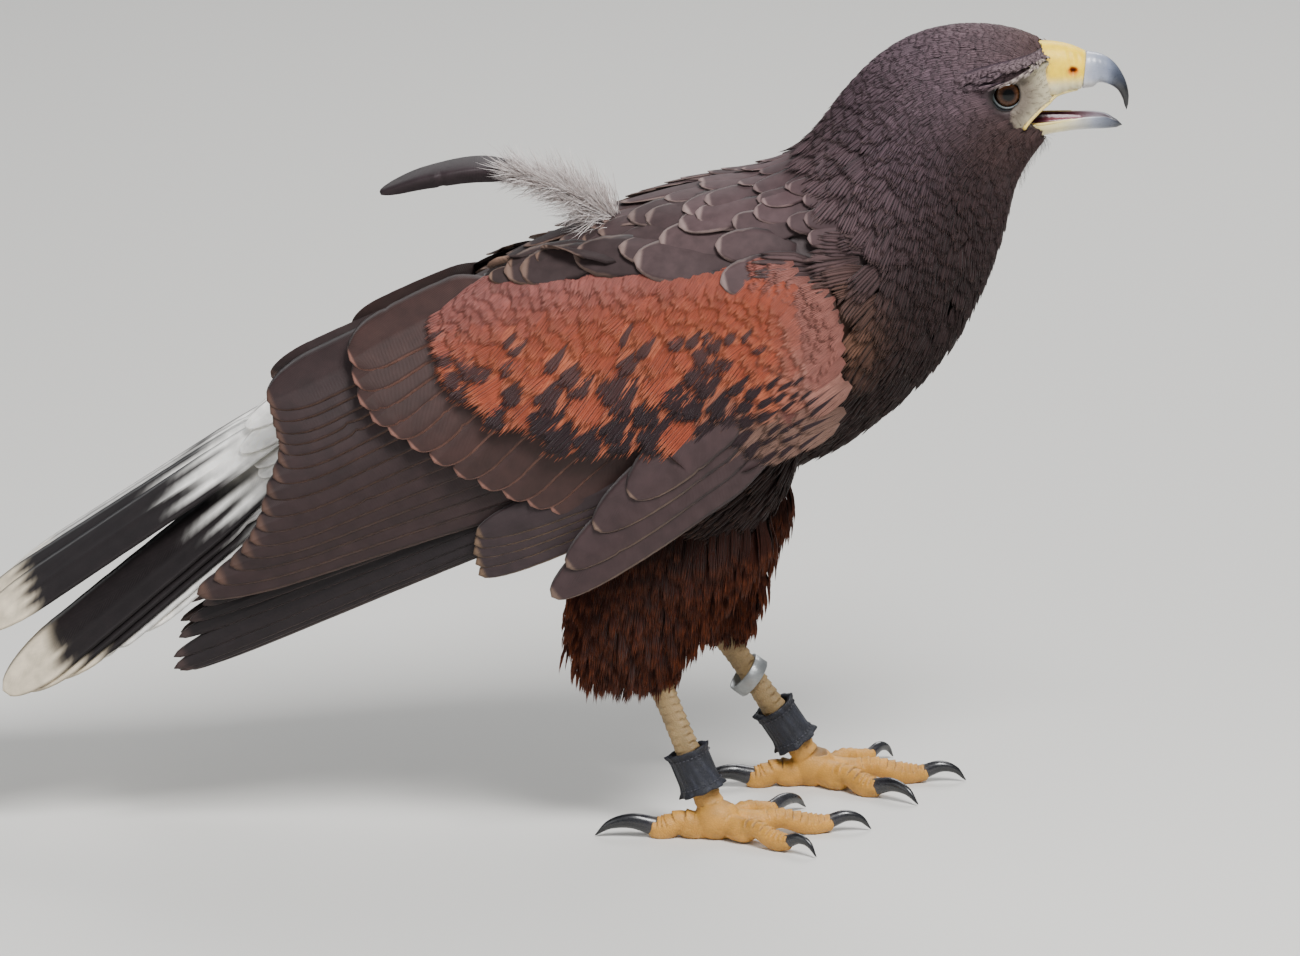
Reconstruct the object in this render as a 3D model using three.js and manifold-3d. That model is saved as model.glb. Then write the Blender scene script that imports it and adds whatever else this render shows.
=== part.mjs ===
// A life-size Harris's hawk, a hen bird that walks on level ground with its neck out and its bill open.
// Millimetres, +Z up. The bird faces +X, its right side is -Y, and the floor is z = 0 while it is
// built. At the end the whole bird is shifted, so that the origin is at the bottom centre of its
// bounding box. It is all soft body and feather, so there are no joints: each named mesh is one body
// part.
import * as THREE from "three";
import { mergeVertices } from "three/addons/utils/BufferGeometryUtils.js";
import Module from "manifold-3d";

const wasm = await Module();
wasm.setup();

// Clearances and facets
const GAP = 0.4; // between neighbouring body parts
const BODY_RINGS = 37; // rings from the tail root to the face
const BODY_SIDES = 20; // points round each ring
const THIGH_SIDES = 14;
const LIMB_SIDES = 8; // points round a tarsus, toe or claw
const FAR = 600; // edge of a block that is larger than the bird

// The trunk, neck and head, from the tail root to the face. Each station has a point on the back line
// and one on the belly line, as [x, z], its half width, and how far up from the belly it is widest.
const BODY = [
  { back: [-153, 189], belly: [-144, 172], half: 12, widest: 0.5 }, // tail root
  { back: [-135, 206], belly: [-117, 153], half: 27, widest: 0.5 }, // rump
  { back: [-110, 223], belly: [-88, 141], half: 39, widest: 0.5 }, // loins
  { back: [-82, 239.5], belly: [-56, 135], half: 47, widest: 0.55 }, // hips
  { back: [-54, 251], belly: [-24, 134], half: 51, widest: 0.6 }, // back
  { back: [-27, 260], belly: [8, 142], half: 53, widest: 0.6 }, // mantle
  { back: [-4, 265], belly: [35, 155], half: 52, widest: 0.58 }, // shoulders
  { back: [10, 271], belly: [58, 173], half: 48, widest: 0.52 }, // breast
  { back: [19, 278.5], belly: [77, 194], half: 41, widest: 0.5 }, // neck root
  { back: [27.5, 290], belly: [90.5, 221], half: 33.5, widest: 0.5 }, // neck
  { back: [36.5, 301.5], belly: [97.5, 242], half: 28.5, widest: 0.5 }, // throat
  { back: [48.5, 313], belly: [101, 258], half: 26, widest: 0.52 }, // nape
  { back: [64, 321], belly: [105, 267], half: 24.5, widest: 0.55 }, // crown
  { back: [82, 324], belly: [109, 273], half: 22.5, widest: 0.58 }, // temples
  { back: [99, 322.5], belly: [113, 278], half: 18, widest: 0.6 }, // brows
  { back: [111, 318.5], belly: [116.5, 282], half: 12, widest: 0.6 }, // lores
];
const TAIL_ROOT_TIP = [-157, 180];
const FACE_TIP = [117, 301];
const FULLNESS = 0.88; // power under 1 that makes a ring fuller than an ellipse

// Where thin cuts part the body: a point [x, z] on each cut and the way that the body runs there
const NECK_CUT = { at: [42, 230], along: [0.864, 0.503] };
const HEAD_CUT = { at: [74, 282], along: [0.737, 0.676] };

// Face
const EYE = { x: 96.5, side: 12.8, z: 300.3, radius: 8.2 };
const LIDS = { radius: 6.5, tube: 1.1, out: 6.4 }; // the lids' ring, out from the middle of the eye
const SOCKET = { ahead: 1, lift: 3.6, drop: 0.6, radius: 8 }; // hollow round the eye, from the eye's centre
const BROW = {
  rear: [83, 21.5, 306.5], front: [113.5, 10.5, 311.5], radii: [2.6, 3.8, 3.2, 1.6], bulge: 1.6,
};
const MOUTH = [
  [104.5, 286], [109.5, 291.2], [114, 294.3], [121, 297.4], [134, 300.4], [160, 300.4],
  [160, 286.6], [138, 287.6], [127, 287.6], [116, 286.4],
]; // outline of the open gape from the side
const GAPE_REACH = 40;
const NOSTRIL = { x: 123.6, side: 7.6, z: 307.2, radius: 1.7 };
const CERE = [
  { back: [108, 317.6], belly: [108, 293], half: 9.6, widest: 0.42 },
  { back: [115.2, 317.6], belly: [115.2, 294.8], half: 9, widest: 0.42 },
  { back: [122.5, 316.2], belly: [121.5, 297.2], half: 7.9, widest: 0.42 },
  { back: [128.6, 313.7], belly: [127, 298.6], half: 6.5, widest: 0.42 },
];
const BILL = [
  { back: [129.1, 313.6], belly: [127.5, 298.7], half: 6.4, widest: 0.4 },
  { back: [134, 312.7], belly: [131.6, 299.2], half: 5.4, widest: 0.4 },
  { back: [138.4, 310.5], belly: [134, 301], half: 4.5, widest: 0.4 },
  { back: [142, 306.7], belly: [138, 300.2], half: 3.6, widest: 0.4 },
  { back: [144.8, 301.4], belly: [141.4, 298], half: 2.7, widest: 0.4 },
  { back: [146, 296.2], belly: [143.4, 294.6], half: 1.8, widest: 0.4 },
  { back: [145.9, 292.2], belly: [144.3, 291.6], half: 0.9, widest: 0.4 },
];
const BILL_TIP = [145.2, 289.6];
const MANDIBLE = [
  { back: [104, 288], belly: [106, 278.5], half: 11.5, widest: 0.7 },
  { back: [111, 288], belly: [112.6, 279.8], half: 11, widest: 0.7 },
  { back: [119.5, 288.6], belly: [120.6, 281.2], half: 8.8, widest: 0.7 },
  { back: [128.5, 289.4], belly: [128.8, 282], half: 6.2, widest: 0.7 },
  { back: [136.5, 288.9], belly: [136.8, 282.2], half: 4.2, widest: 0.7 },
  { back: [141.2, 286.6], belly: [141.6, 282.6], half: 2.3, widest: 0.6 },
];
const MANDIBLE_TIP = [143.6, 282.9];
const MANDIBLE_WALL = 1.3;
const TONGUE = [
  { back: [106.5, 286.6], belly: [106.5, 282.6], half: 4, widest: 0.5 },
  { back: [114, 287], belly: [114, 283.6], half: 4.4, widest: 0.5 },
  { back: [121, 287.2], belly: [121, 284.6], half: 3.6, widest: 0.5 },
  { back: [126.5, 287.2], belly: [126.5, 285.4], half: 2.1, widest: 0.5 },
];
const TONGUE_TIP = [129.4, 286.4];

// The folded wing as a sheet that is seen from the side: its half width from the middle of the bird
const WING = {
  widest: 66, widestX: -40, frontDrop: 9, frontRun: 75, rearSlope: 0.08, rearBlend: 30,
  midLevel: 195, midSlope: 0.36, upperDrop: 15, upperRun: 50, lowerDrop: 6, lowerRun: 60,
};
const ARM_OUTLINE = [
  [34, 212], [27, 231], [10, 241], [-18, 243.5], [-50, 243], [-84, 239.5], [-108, 232], [-116, 222],
  [-100, 205], [-79, 188], [-53, 172], [-29, 158], [-4, 157], [13, 171], [27, 192],
]; // the arm with its smallest coverts, inside the tips of the other rows
const ARM = { thick: 26, edgeThick: 9, shoulder: 4, rings: [0.45, 0.76, 0.93], sides: 24, settle: 6 };

// Rows of wing feathers, each under the rows after it. Roots and tips lie on curves through the points
// [x, z]. insets are the depths of root and tip under the sheet. bend curves a feather downwards.
const WING_ROWS = [
  {
    // primaries
    count: 7, width: 15, insets: [19, 14], bend: 0.035,
    taper: 0.55, stations: [0.12, 0.4, 0.68, 0.9],
    roots: [[4, 172], [-9, 170], [-22, 174]],
    tips: [[-213, 76], [-223, 71], [-230, 69], [-234, 71], [-231, 84], [-222, 96]],
  },
  {
    // secondaries and tertials
    count: 10, width: 19, insets: [14, 7], bend: 0.02,
    taper: 0.25, stations: [0.12, 0.4, 0.68, 0.93],
    roots: [[-10, 172], [-52, 192], [-84, 212], [-96, 224]],
    tips: [[-224, 103], [-209, 117], [-201, 129], [-196, 144], [-191, 158], [-193, 168], [-196, 178]],
  },
  {
    // coverts of the primaries
    count: 3, width: 16, insets: [9.6, 7.4], bend: 0.03,
    taper: 0.35, stations: [0.14, 0.55, 0.9],
    roots: [[6, 165], [-8, 168]],
    tips: [[-112, 115], [-113, 129]],
  },
  {
    // greater coverts
    count: 8, width: 21, insets: [7.4, 3.2], bend: 0.06,
    taper: 0.25, stations: [0.14, 0.55, 0.9],
    roots: [[-20, 176], [-60, 196], [-90, 215], [-99, 226]],
    tips: [[-92, 141], [-118, 153], [-140, 166], [-158, 180], [-163, 196]],
  },
  {
    // median coverts
    count: 7, width: 20, insets: [4, 0], bend: 0.08,
    taper: 0.25, stations: [0.14, 0.55, 0.9],
    roots: [[-4, 186], [-40, 204], [-72, 221], [-88, 232]],
    tips: [[-60, 150], [-88, 162], [-110, 172], [-130, 190], [-136, 208]],
  },
  {
    // alula
    count: 4, width: 24, insets: [2.6, -2], bend: 0.04,
    taper: 0.5, stations: [0.12, 0.5, 0.78, 0.93],
    roots: [[15, 176], [6, 184], [-3, 190]],
    tips: [[-83, 105.5], [-77, 118], [-66, 134], [-52, 148]],
  },
];
const VANE = { thick: 0.65, quill: 0.32, quillRun: 0.3, lift: 1.25, variation: 0.04 };

// The tail, whose two halves droop from a ridge. rollDeg turns its right side down. tips are the places
// of the shafts at full length, out from the ridge; near the root they lie rootSpacing apart. A deck
// feather lies flat. stand is the height over the tail's plane, and order counts from the middle.
const TAIL = {
  root: [-134, 196], slopeDeg: 34, rollDeg: 24, droopDeg: 16, camber: 0.0018, length: 216, width: 29,
  rootSpacing: 3, tipSpacing: 8.5, lift: 1.35, leastAside: 0.8, deckRoot: 0.3, taper: 0.16,
  stations: [0.1, 0.36, 0.66, 0.94],
};
const TAIL_FEATHERS = [
  { side: -1, tips: [34, 37, 40, 42, 44], lengths: [217, 210, 198, 182, 162], order: 1, stand: 0 },
  { side: 1, tips: [14, 22, 30, 38, 46], lengths: [216, 214, 211, 208, 203], order: 1, stand: 0 },
  { side: -1, tips: [5], lengths: [216], deck: true, order: 0, stand: 5.2 },
  { side: 1, tips: [7], lengths: [216], deck: true, order: 0, stand: 3.6 },
];
const TAIL_COVERTS = [
  { side: -1, tips: [28, 44], lengths: [84, 84], order: 0, width: 24, stand: 2.5 },
  { side: 1, tips: [28, 42], lengths: [84, 84], order: 0, width: 24, stand: 2.5 },
  { side: -1, tips: [9], lengths: [86], deck: true, order: 0, width: 22, stand: 7 },
  { side: 1, tips: [9], lengths: [80], deck: true, order: 0, width: 22, stand: 8.2 },
  { side: -1, tips: [20, 48], lengths: [98, 98], order: 0, width: 26, stand: -8 },
  { side: 1, tips: [20, 46], lengths: [98, 98], order: 0, width: 26, stand: -8 },
];
const COVERT = { taper: 0.35, stations: [0.14, 0.5, 0.85] };
const TAIL_CORE = [
  { back: [-128, 207], belly: [-124, 172], half: 15, widest: 0.5 },
  { back: [-146, 196], belly: [-140, 168], half: 15, widest: 0.5 },
  { back: [-163, 184], belly: [-156, 162], half: 13, widest: 0.5 },
];
const TAIL_CORE_TIP = [-178, 167];

const LOCK = { thick: 1.05, sunk: [-4.5, -3] }; // soft feathers, their roots sunk inwards and upwards

// Legs. A thigh's stations run down from the flank: [x, z], half length fore and aft, half width
const LEGS = {
  right: {
    side: -1, y: 30,
    thigh: [
      { at: [-14, 166], fore: 32, half: 15 },
      { at: [-27, 138], fore: 36, half: 15.5 },
      { at: [-43, 112], fore: 31, half: 14 },
      { at: [-50, 90], fore: 23, half: 11.5 },
      { at: [-49, 70], fore: 14, half: 8 },
    ],
    thighTip: [-46, 58],
    locks: { tiers: [116, 92], count: 9, length: 30, width: 12, flare: 2.6, lean: 1 },
    tarsus: { top: [-45, 74], bottom: [-20, 13], y: 36 },
    foot: { x: -17, y: 38, turnDeg: -4 },
  },
  left: {
    side: 1, y: 30,
    thigh: [
      { at: [-10, 166], fore: 30, half: 15 },
      { at: [-13, 138], fore: 29, half: 15.5 },
      { at: [-17, 112], fore: 23, half: 14 },
      { at: [-17, 90], fore: 17, half: 11.5 },
      { at: [-15, 72], fore: 11, half: 8 },
    ],
    thighTip: [-13, 60],
    locks: { tiers: [112, 92], count: 8, length: 24, width: 11, flare: 2.2, lean: 0.4 },
    tarsus: { top: [-20, 74], bottom: [19, 13], y: 36 },
    foot: { x: 22, y: 38, turnDeg: 6 },
  },
};
const TARSUS = [[4.8, 6.2], [3.8, 4.7], [5, 5.4]]; // half thickness across and fore and aft, from the top
const TOES = [
  { name: "middle", deg: 4, length: 46, root: 5.2, tip: 3.4, claw: 19, clawRoot: 3 },
  { name: "inner", deg: 44, length: 33, root: 5.4, tip: 3.8, claw: 24, clawRoot: 3.5 },
  { name: "outer", deg: -42, length: 36, root: 4.8, tip: 3.1, claw: 16, clawRoot: 2.7 },
  { name: "hind", deg: 176, length: 26, root: 5.6, tip: 4, claw: 27, clawRoot: 3.9 },
];
const PAD = { radius: 9.5, height: 13 };
const CUFF = { wall: 1.5, height: 17, flare: 1.6, rise: 0.1, play: 0.9 };
const LEG_RING = { inner: 7.8, wall: 0.8, height: 6, tiltDeg: -20, up: 0.53 };

// A long feather that stands loose on the back, with down at its root
const LOOSE = {
  path: [[-56, -7, 245], [-78, -8, 259], [-106, -9, 267], [-131, -9, 264], [-151, -9, 257.5]],
  width: 11, downCount: 6, downReach: 24,
};

const COLOURS = {
  head: 0x3e2c2b, neck: 0x352726, torso: 0x3a2a27, wing: 0x8c4a36, tail: 0x2a1f1e, thigh: 0x4a1f12,
  scale: 0xd9a94a, claw: 0x17171a, bill: 0x767f90, cere: 0xf2c53a, mouth: 0x5a2430, eye: 0x2c1c14,
  leather: 0x1c1d22, metal: 0x9aa0a6, down: 0xb3a6a3,
};

const vec = (x, y, z) => new THREE.Vector3(x, y, z);
const mix = THREE.MathUtils.lerp;
const rad = THREE.MathUtils.degToRad;
const smooth = (t) => THREE.MathUtils.smoothstep(t, 0, 1);
const signedPower = (value, power) => Math.sign(value) * Math.abs(value) ** power;

// Seeded noise from -1 to 1, the same on each run
function noiseFrom(seed) {
  let state = seed;
  return () => {
    state = (state * 1664525 + 1013904223) % 4294967296;
    return (state / 4294967296) * 2 - 1;
  };
}

// A closed solid from a geometry, with its faces turned outwards
function solidOf(geometry) {
  const bare = new THREE.BufferGeometry();
  bare.setAttribute("position", geometry.getAttribute("position"));
  if (geometry.getIndex()) bare.setIndex(geometry.getIndex());
  const merged = mergeVertices(bare, 1e-4);
  const vertProperties = merged.attributes.position.array;
  const make = (triVerts) => new wasm.Manifold(new wasm.Mesh({ numProp: 3, vertProperties, triVerts }));
  const faces = new Uint32Array(merged.index.array);
  const solid = make(faces);
  if (solid.volume() >= 0) return solid;
  for (let i = 0; i < faces.length; i += 3) [faces[i], faces[i + 1]] = [faces[i + 1], faces[i]];
  return make(faces);
}

// A closed skin over rings of equal length with a point at each end: a sphere whose rings are moved
// there. The second half of each ring is split into triangles the other way, so that both faces of a
// thin plate fold alike.
function skin(rings, start, end) {
  const sides = rings[0].length;
  const sphere = new THREE.SphereGeometry(1, sides, rings.length + 1);
  const position = sphere.getAttribute("position");
  for (let ring = 0; ring < rings.length + 2; ring++) {
    for (let i = 0; i <= sides; i++) {
      const point = ring === 0 ? start : ring > rings.length ? end : rings[ring - 1][i % sides];
      position.setXYZ(ring * (sides + 1) + i, point.x, point.y, point.z);
    }
  }
  const at = (ring, i) => ring * (sides + 1) + i;
  const index = [];
  for (let i = 0; i < sides; i++) {
    const last = rings.length;
    index.push(at(0, i), at(1, i), at(1, i + 1), at(last, i + 1), at(last, i), at(last + 1, i));
    for (let ring = 1; ring < rings.length; ring++) {
      const [a, b, c, d] = [at(ring, i), at(ring, i + 1), at(ring + 1, i), at(ring + 1, i + 1)];
      if (i < sides / 2) index.push(a, c, d, a, d, b);
      else index.push(a, c, b, b, c, d);
    }
  }
  return solidOf(sphere.setIndex(index));
}

// The largest closed surface of several solids that are joined
function joined(solids) {
  const pieces = solids.reduce((all, solid) => all.add(solid)).decompose();
  return pieces.reduce((largest, piece) => (piece.volume() > largest.volume() ? piece : largest));
}

const largest = (solid) => joined([solid]);

// A block that fills one side of a plane
function halfSpace(point, normal) {
  const block = new THREE.BoxGeometry(FAR, FAR, FAR).translate(0, 0, FAR / 2);
  const turn = new THREE.Quaternion().setFromUnitVectors(vec(0, 0, 1), normal.clone().normalize());
  return solidOf(block.applyQuaternion(turn).translate(point.x, point.y, point.z));
}

// A smooth form across stations, whose rings run from back line to belly line. grow swells it by that
// much.
function loft(stations, { start, end, ringCount, sides = BODY_SIDES, grow = 0, power = FULLNESS }) {
  const backs = new THREE.CatmullRomCurve3(stations.map((s) => vec(s.back[0], 0, s.back[1])));
  const bellies = new THREE.CatmullRomCurve3(stations.map((s) => vec(s.belly[0], 0, s.belly[1])));
  const sizes = new THREE.CatmullRomCurve3(stations.map((s) => vec(s.half, s.widest, 0)));
  const rings = [];
  for (let ring = 0; ring < ringCount; ring++) {
    const t = ring / (ringCount - 1);
    const back = backs.getPoint(t);
    const belly = bellies.getPoint(t);
    const { x: half, y: widest } = sizes.getPoint(t);
    const outwards = back.clone().sub(belly).setLength(grow);
    back.add(outwards);
    belly.sub(outwards);
    const centre = belly.clone().lerp(back, widest);
    const points = [];
    for (let i = 0; i < sides; i++) {
      const angle = (i / sides) * Math.PI * 2;
      const height = signedPower(Math.cos(angle), power);
      const reach = (height > 0 ? back : belly).clone().sub(centre).multiplyScalar(Math.abs(height));
      const aside = (half + grow) * signedPower(Math.sin(angle), power);
      points.push(centre.clone().add(reach).add(vec(0, aside, 0)));
    }
    rings.push(points);
  }
  const startX = start[0] - Math.sign(end[0] - start[0]) * grow;
  return skin(rings, vec(startX, 0, start[1]), vec(end[0], 0, end[1]));
}

// A limb along a smooth path. Each station has the half thickness across the bird and along the other
// way.
function limb(path, sizes, options) {
  const { sides = LIMB_SIDES, ringCount = 6, blunt = 0.5, across = vec(0, 1, 0), grow = 0 } = options;
  const line = new THREE.CatmullRomCurve3(path);
  const girth = new THREE.CatmullRomCurve3(sizes.map(([side, fore]) => vec(side, fore, 0)));
  const rings = [];
  for (let ring = 0; ring < ringCount; ring++) {
    const t = ring / (ringCount - 1);
    const centre = line.getPoint(t);
    const along = line.getTangent(t);
    const fore = along.clone().cross(across).normalize();
    const side = fore.clone().cross(along).normalize();
    const { x: sideHalf, y: foreHalf } = girth.getPoint(t);
    rings.push(
      Array.from({ length: sides }, (_, i) => {
        const angle = (i / sides) * Math.PI * 2;
        return centre
          .clone()
          .addScaledVector(side, (sideHalf + grow) * Math.sin(angle))
          .addScaledVector(fore, (foreHalf + grow) * Math.cos(angle));
      }),
    );
  }
  const cap = (t, size, sign) =>
    line.getPoint(t).addScaledVector(line.getTangent(t), sign * (blunt * Math.min(...size) + grow));
  return skin(rings, cap(0, sizes[0], -1), cap(1, sizes[sizes.length - 1], 1));
}

// A feather's vane, a thin plate. place(along, across) gives a point in space and the side that faces
// out, where across runs from -1 to 1.
function vane(place, stations) {
  const ring = (along) =>
    [[-1, 1], [1, 1], [1, -1], [-1, -1]].map(([across, face]) => {
      const { point, out } = place(along, across);
      return point.clone().addScaledVector(out, (face * VANE.thick) / 2);
    });
  return skin(stations.map(ring), place(0, 0).point, place(1, 0).point);
}

// Share of a feather's full width: a narrow quill, a full vane, and a tip that taper makes round or
// pointed
function vaneWidth(along, taper, quillRun = VANE.quillRun) {
  const opening = mix(VANE.quill, 1, smooth(along / quillRun));
  const closing = Math.sqrt(Math.max(0, 1 - Math.max(0, (along - 1 + taper) / taper) ** 2));
  return opening * mix(closing, 1, 0.12);
}

// How far the wing's outer sheet lies from the middle of the bird
function wingHalf(x, z) {
  const behind = WING.widestX - x;
  const front = WING.frontDrop * (Math.max(0, -behind) / WING.frontRun) ** 2;
  const bent = Math.hypot(behind, WING.rearBlend) - WING.rearBlend;
  const rear = (WING.rearSlope / 2) * (bent + Math.max(0, behind));
  const above = z - (WING.midLevel + WING.midSlope * Math.min(0, x));
  const [drop, run] = above > 0 ? [WING.upperDrop, WING.upperRun] : [WING.lowerDrop, WING.lowerRun];
  return WING.widest - front - (behind > 0 ? rear : 0) - drop * (above / run) ** 2;
}

// Height of a feather's line above x, carried on along its slope past its ends
function heightAt(line, x) {
  const share = THREE.MathUtils.clamp((x - line.v0.x) / (line.v2.x - line.v0.x), 0, 1);
  const [point, slope] = [line.getPoint(share), line.getTangent(share)];
  return point.z + ((x - point.x) * slope.z) / slope.x;
}

// One row of wing feathers, each over the next one below it. They are copies of one surface, a lift
// apart, that slants so that each feather's shaft lies at the row's depth.
function wingRow(row, side) {
  const flat = (points) => new THREE.CatmullRomCurve3(points.map(([x, z]) => vec(x, 0, z)));
  const [roots, tips] = [flat(row.roots), flat(row.tips)];
  const noise = noiseFrom(row.count * 977 + (side > 0 ? 1 : 2));
  const last = row.count - 1;
  const lines = Array.from({ length: row.count }, (_, i) => {
    const [root, tip] = [roots, tips].map((curve) => curve.getPoint(i / last));
    const sideways = tip.clone().sub(root).cross(vec(0, 1, 0));
    const control = root.clone().lerp(tip, 0.55).addScaledVector(sideways, -row.bend);
    return new THREE.QuadraticBezierCurve3(root, control, tip);
  });
  const [low, middle, high] = [lines[0], lines[Math.floor(last / 2)], lines[last]];
  const depthAt = (x, z) => {
    const order = (last * (z - heightAt(low, x))) / (heightAt(high, x) - heightAt(low, x));
    return mix(...row.insets, (x - middle.v0.x) / (middle.v2.x - middle.v0.x)) + VANE.lift * order;
  };
  return lines.map((line, i) => {
    const half = (row.width / 2) * (1 + VANE.variation * noise());
    const place = (along, across) => {
      const sideways = line.getTangent(along).cross(vec(0, 1, 0)).normalize();
      const reach = across * half * vaneWidth(along, row.taper);
      const point = line.getPoint(along).addScaledVector(sideways, reach);
      point.y = side * (wingHalf(point.x, point.z) - depthAt(point.x, point.z) + VANE.lift * i);
      if (side > 0) point.z -= ARM.settle;
      return { point, out: vec(0, side, 0) };
    };
    return vane(place, row.stations);
  });
}

// The feathered arm under the coverts: a pillow whose outline is seen from the side
function arm(side) {
  const outline = new THREE.CatmullRomCurve3(ARM_OUTLINE.map(([x, z]) => vec(x, 0, z)), true);
  const edge = Array.from({ length: ARM.sides }, (_, i) => outline.getPoint(i / ARM.sides));
  const centre = edge.reduce((sum, p) => sum.add(p), vec(0, 0, 0)).divideScalar(edge.length);
  const ringAt = (share, outer) =>
    edge.map((p) => {
      const point = centre.clone().lerp(p, share);
      const inset = outer ? ARM.shoulder * share ** 6 : mix(ARM.edgeThick, ARM.thick, 1 - share ** 3);
      point.y = side * (wingHalf(point.x, point.z) - inset);
      if (side > 0) point.z -= ARM.settle;
      return point;
    });
  const rings = [...ARM.rings.map((s) => ringAt(s, true)), ringAt(1, true), ringAt(1, false)];
  rings.push(...ARM.rings.toReversed().map((s) => ringAt(s, false)));
  const half = wingHalf(centre.x, centre.z);
  const z = centre.z - (side > 0 ? ARM.settle : 0);
  return skin(rings, vec(centre.x, side * half, z), vec(centre.x, side * (half - ARM.thick), z));
}

// A feather on one half of the tail. The halves meet along a ridge like a roof's, and each feather is a
// copy of one cambered surface, a lift under the one before it. Rows below the plane keep clear of the
// other half's.
function tailVane({ side, deck, order, from, to, length, width, stand, taper, stations }) {
  const slope = rad(TAIL.slopeDeg);
  const down = vec(-Math.cos(slope), 0, -Math.sin(slope));
  const turnDeg = (deck ? 0 : side * TAIL.droopDeg) - TAIL.rollDeg;
  const turn = new THREE.Quaternion().setFromAxisAngle(down, rad(turnDeg));
  const up = vec(-Math.sin(slope), 0, Math.cos(slope)).applyQuaternion(turn);
  const out = vec(0, side, 0).applyQuaternion(turn);
  const ridge = vec(TAIL.root[0], 0, TAIL.root[1]);
  const leastAside = TAIL.leastAside + Math.max(0, -stand) * Math.tan(rad(TAIL.droopDeg));
  const place = (along, across) => {
    const share = (length * along) / TAIL.length;
    const middle = mix(from, to, share) + (width / 2) * vaneWidth(along, taper, 0.5) * across;
    const aside = deck ? middle : Math.max(leastAside, middle);
    const spacing = mix(TAIL.rootSpacing, TAIL.tipSpacing, share);
    const level = stand + (deck ? 0 : TAIL.lift * (aside / spacing - order)) - aside ** 2 * TAIL.camber;
    const point = ridge.clone().addScaledVector(down, length * along).addScaledVector(out, aside);
    return { point: point.addScaledVector(up, level), out: up };
  };
  return vane(place, stations);
}

function tailSolids() {
  const feathers = (rows, shape) =>
    rows.flatMap((row) =>
      row.tips.map((to, i) => {
        const order = row.order + i;
        const from = row.deck ? to * TAIL.deckRoot : TAIL.rootSpacing * (order + 0.5);
        return tailVane({ ...shape, ...row, order, from, to, length: row.lengths[i] });
      }),
    );
  const core = loft(TAIL_CORE, { start: [-122, 190], end: TAIL_CORE_TIP, ringCount: 6, sides: 14 });
  return [core, ...feathers(TAIL_FEATHERS, TAIL), ...feathers(TAIL_COVERTS, COVERT)];
}

// A flat lock that tapers from its root and bends along the way from root to tip
function lock({ root, control, tip, across, width }) {
  const line = new THREE.QuadraticBezierCurve3(root, control, tip);
  const place = (along, share) => {
    const wide = width * Math.sin(Math.PI * (0.3 + 0.66 * along));
    const out = across.clone().cross(line.getTangent(along)).setLength(LOCK.thick / VANE.thick);
    return { point: line.getPoint(along).addScaledVector(across, (share * wide) / 2), out };
  };
  return vane(place, [0.05, 0.45, 0.8]);
}

function thighSolid(leg, grow = 0) {
  const y = leg.side * leg.y;
  const rings = leg.thigh.map(({ at: [x, z], fore, half }) =>
    Array.from({ length: THIGH_SIDES }, (_, i) => {
      const angle = (i / THIGH_SIDES) * Math.PI * 2;
      return vec(x + (fore + grow) * Math.cos(angle), y + (half + grow) * Math.sin(angle), z);
    }),
  );
  const top = leg.thigh[0].at;
  return skin(rings, vec(top[0], y, top[1] + 8), vec(leg.thighTip[0], y, leg.thighTip[1] - grow));
}

// Tiers of long feathers that hang round the thigh and out over its lower end
function thighLocks(leg) {
  const { tiers, count, length, width, flare, lean } = leg.locks;
  const noise = noiseFrom(leg.side > 0 ? 31 : 57);
  const heights = leg.thigh.map(({ at }) => at[1]);
  const sectionAt = (z) => {
    const i = heights.findLastIndex((height) => height > z);
    const [high, low] = [leg.thigh[i], leg.thigh[i + 1]];
    const t = (high.at[1] - z) / (high.at[1] - low.at[1]);
    const x = mix(high.at[0], low.at[0], t);
    return { x, fore: mix(high.fore, low.fore, t), half: mix(high.half, low.half, t) };
  };
  return tiers.flatMap((z, tier) =>
    Array.from({ length: count }, (_, i) => {
      const angle = ((i + (tier % 2) / 2) / count) * Math.PI * 2;
      const { x, fore, half } = sectionAt(z);
      const y = leg.side * leg.y;
      const at = (grow, drop, back) =>
        vec(x + (fore + grow) * Math.cos(angle) - back, y + (half + grow) * Math.sin(angle), z - drop);
      const rearward = 0.5 - 0.5 * Math.cos(angle);
      const long = length * (0.75 + 0.35 * rearward) * (1 + 0.08 * noise());
      return lock({
        root: at(...LOCK.sunk, 0),
        control: at(flare * 0.8, long * 0.5, lean * rearward * 3),
        tip: at(flare * 0.4, long, lean * rearward * 8),
        across: vec(-Math.sin(angle) * fore, Math.cos(angle) * half, 0).normalize(),
        width: width * (1 + 0.1 * noise()),
      });
    }),
  );
}

function tarsusSolid(leg, grow = 0) {
  const { top, bottom, y } = leg.tarsus;
  const at = (t) => vec(mix(top[0], bottom[0], t), leg.side * mix(leg.y, y, t), mix(top[1], bottom[1], t));
  return limb([0, 0.5, 1].map(at), TARSUS, { grow });
}

const toeDirection = (leg, toe) => {
  const angle = rad(leg.foot.turnDeg * leg.side + toe.deg * -leg.side);
  return vec(Math.cos(angle), Math.sin(angle), 0);
};

// A toe with a pad under each joint, flat where it meets the floor
function toePath(leg, toe) {
  const away = toeDirection(leg, toe);
  const { x, y } = leg.foot;
  const at = (share, z) => vec(x, leg.side * y, z).addScaledVector(away, toe.length * share);
  return [at(0, 7.5), at(0.3, 5.1), at(0.55, 6.6), at(0.8, 3.8), at(1, 3.9)];
}

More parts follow.
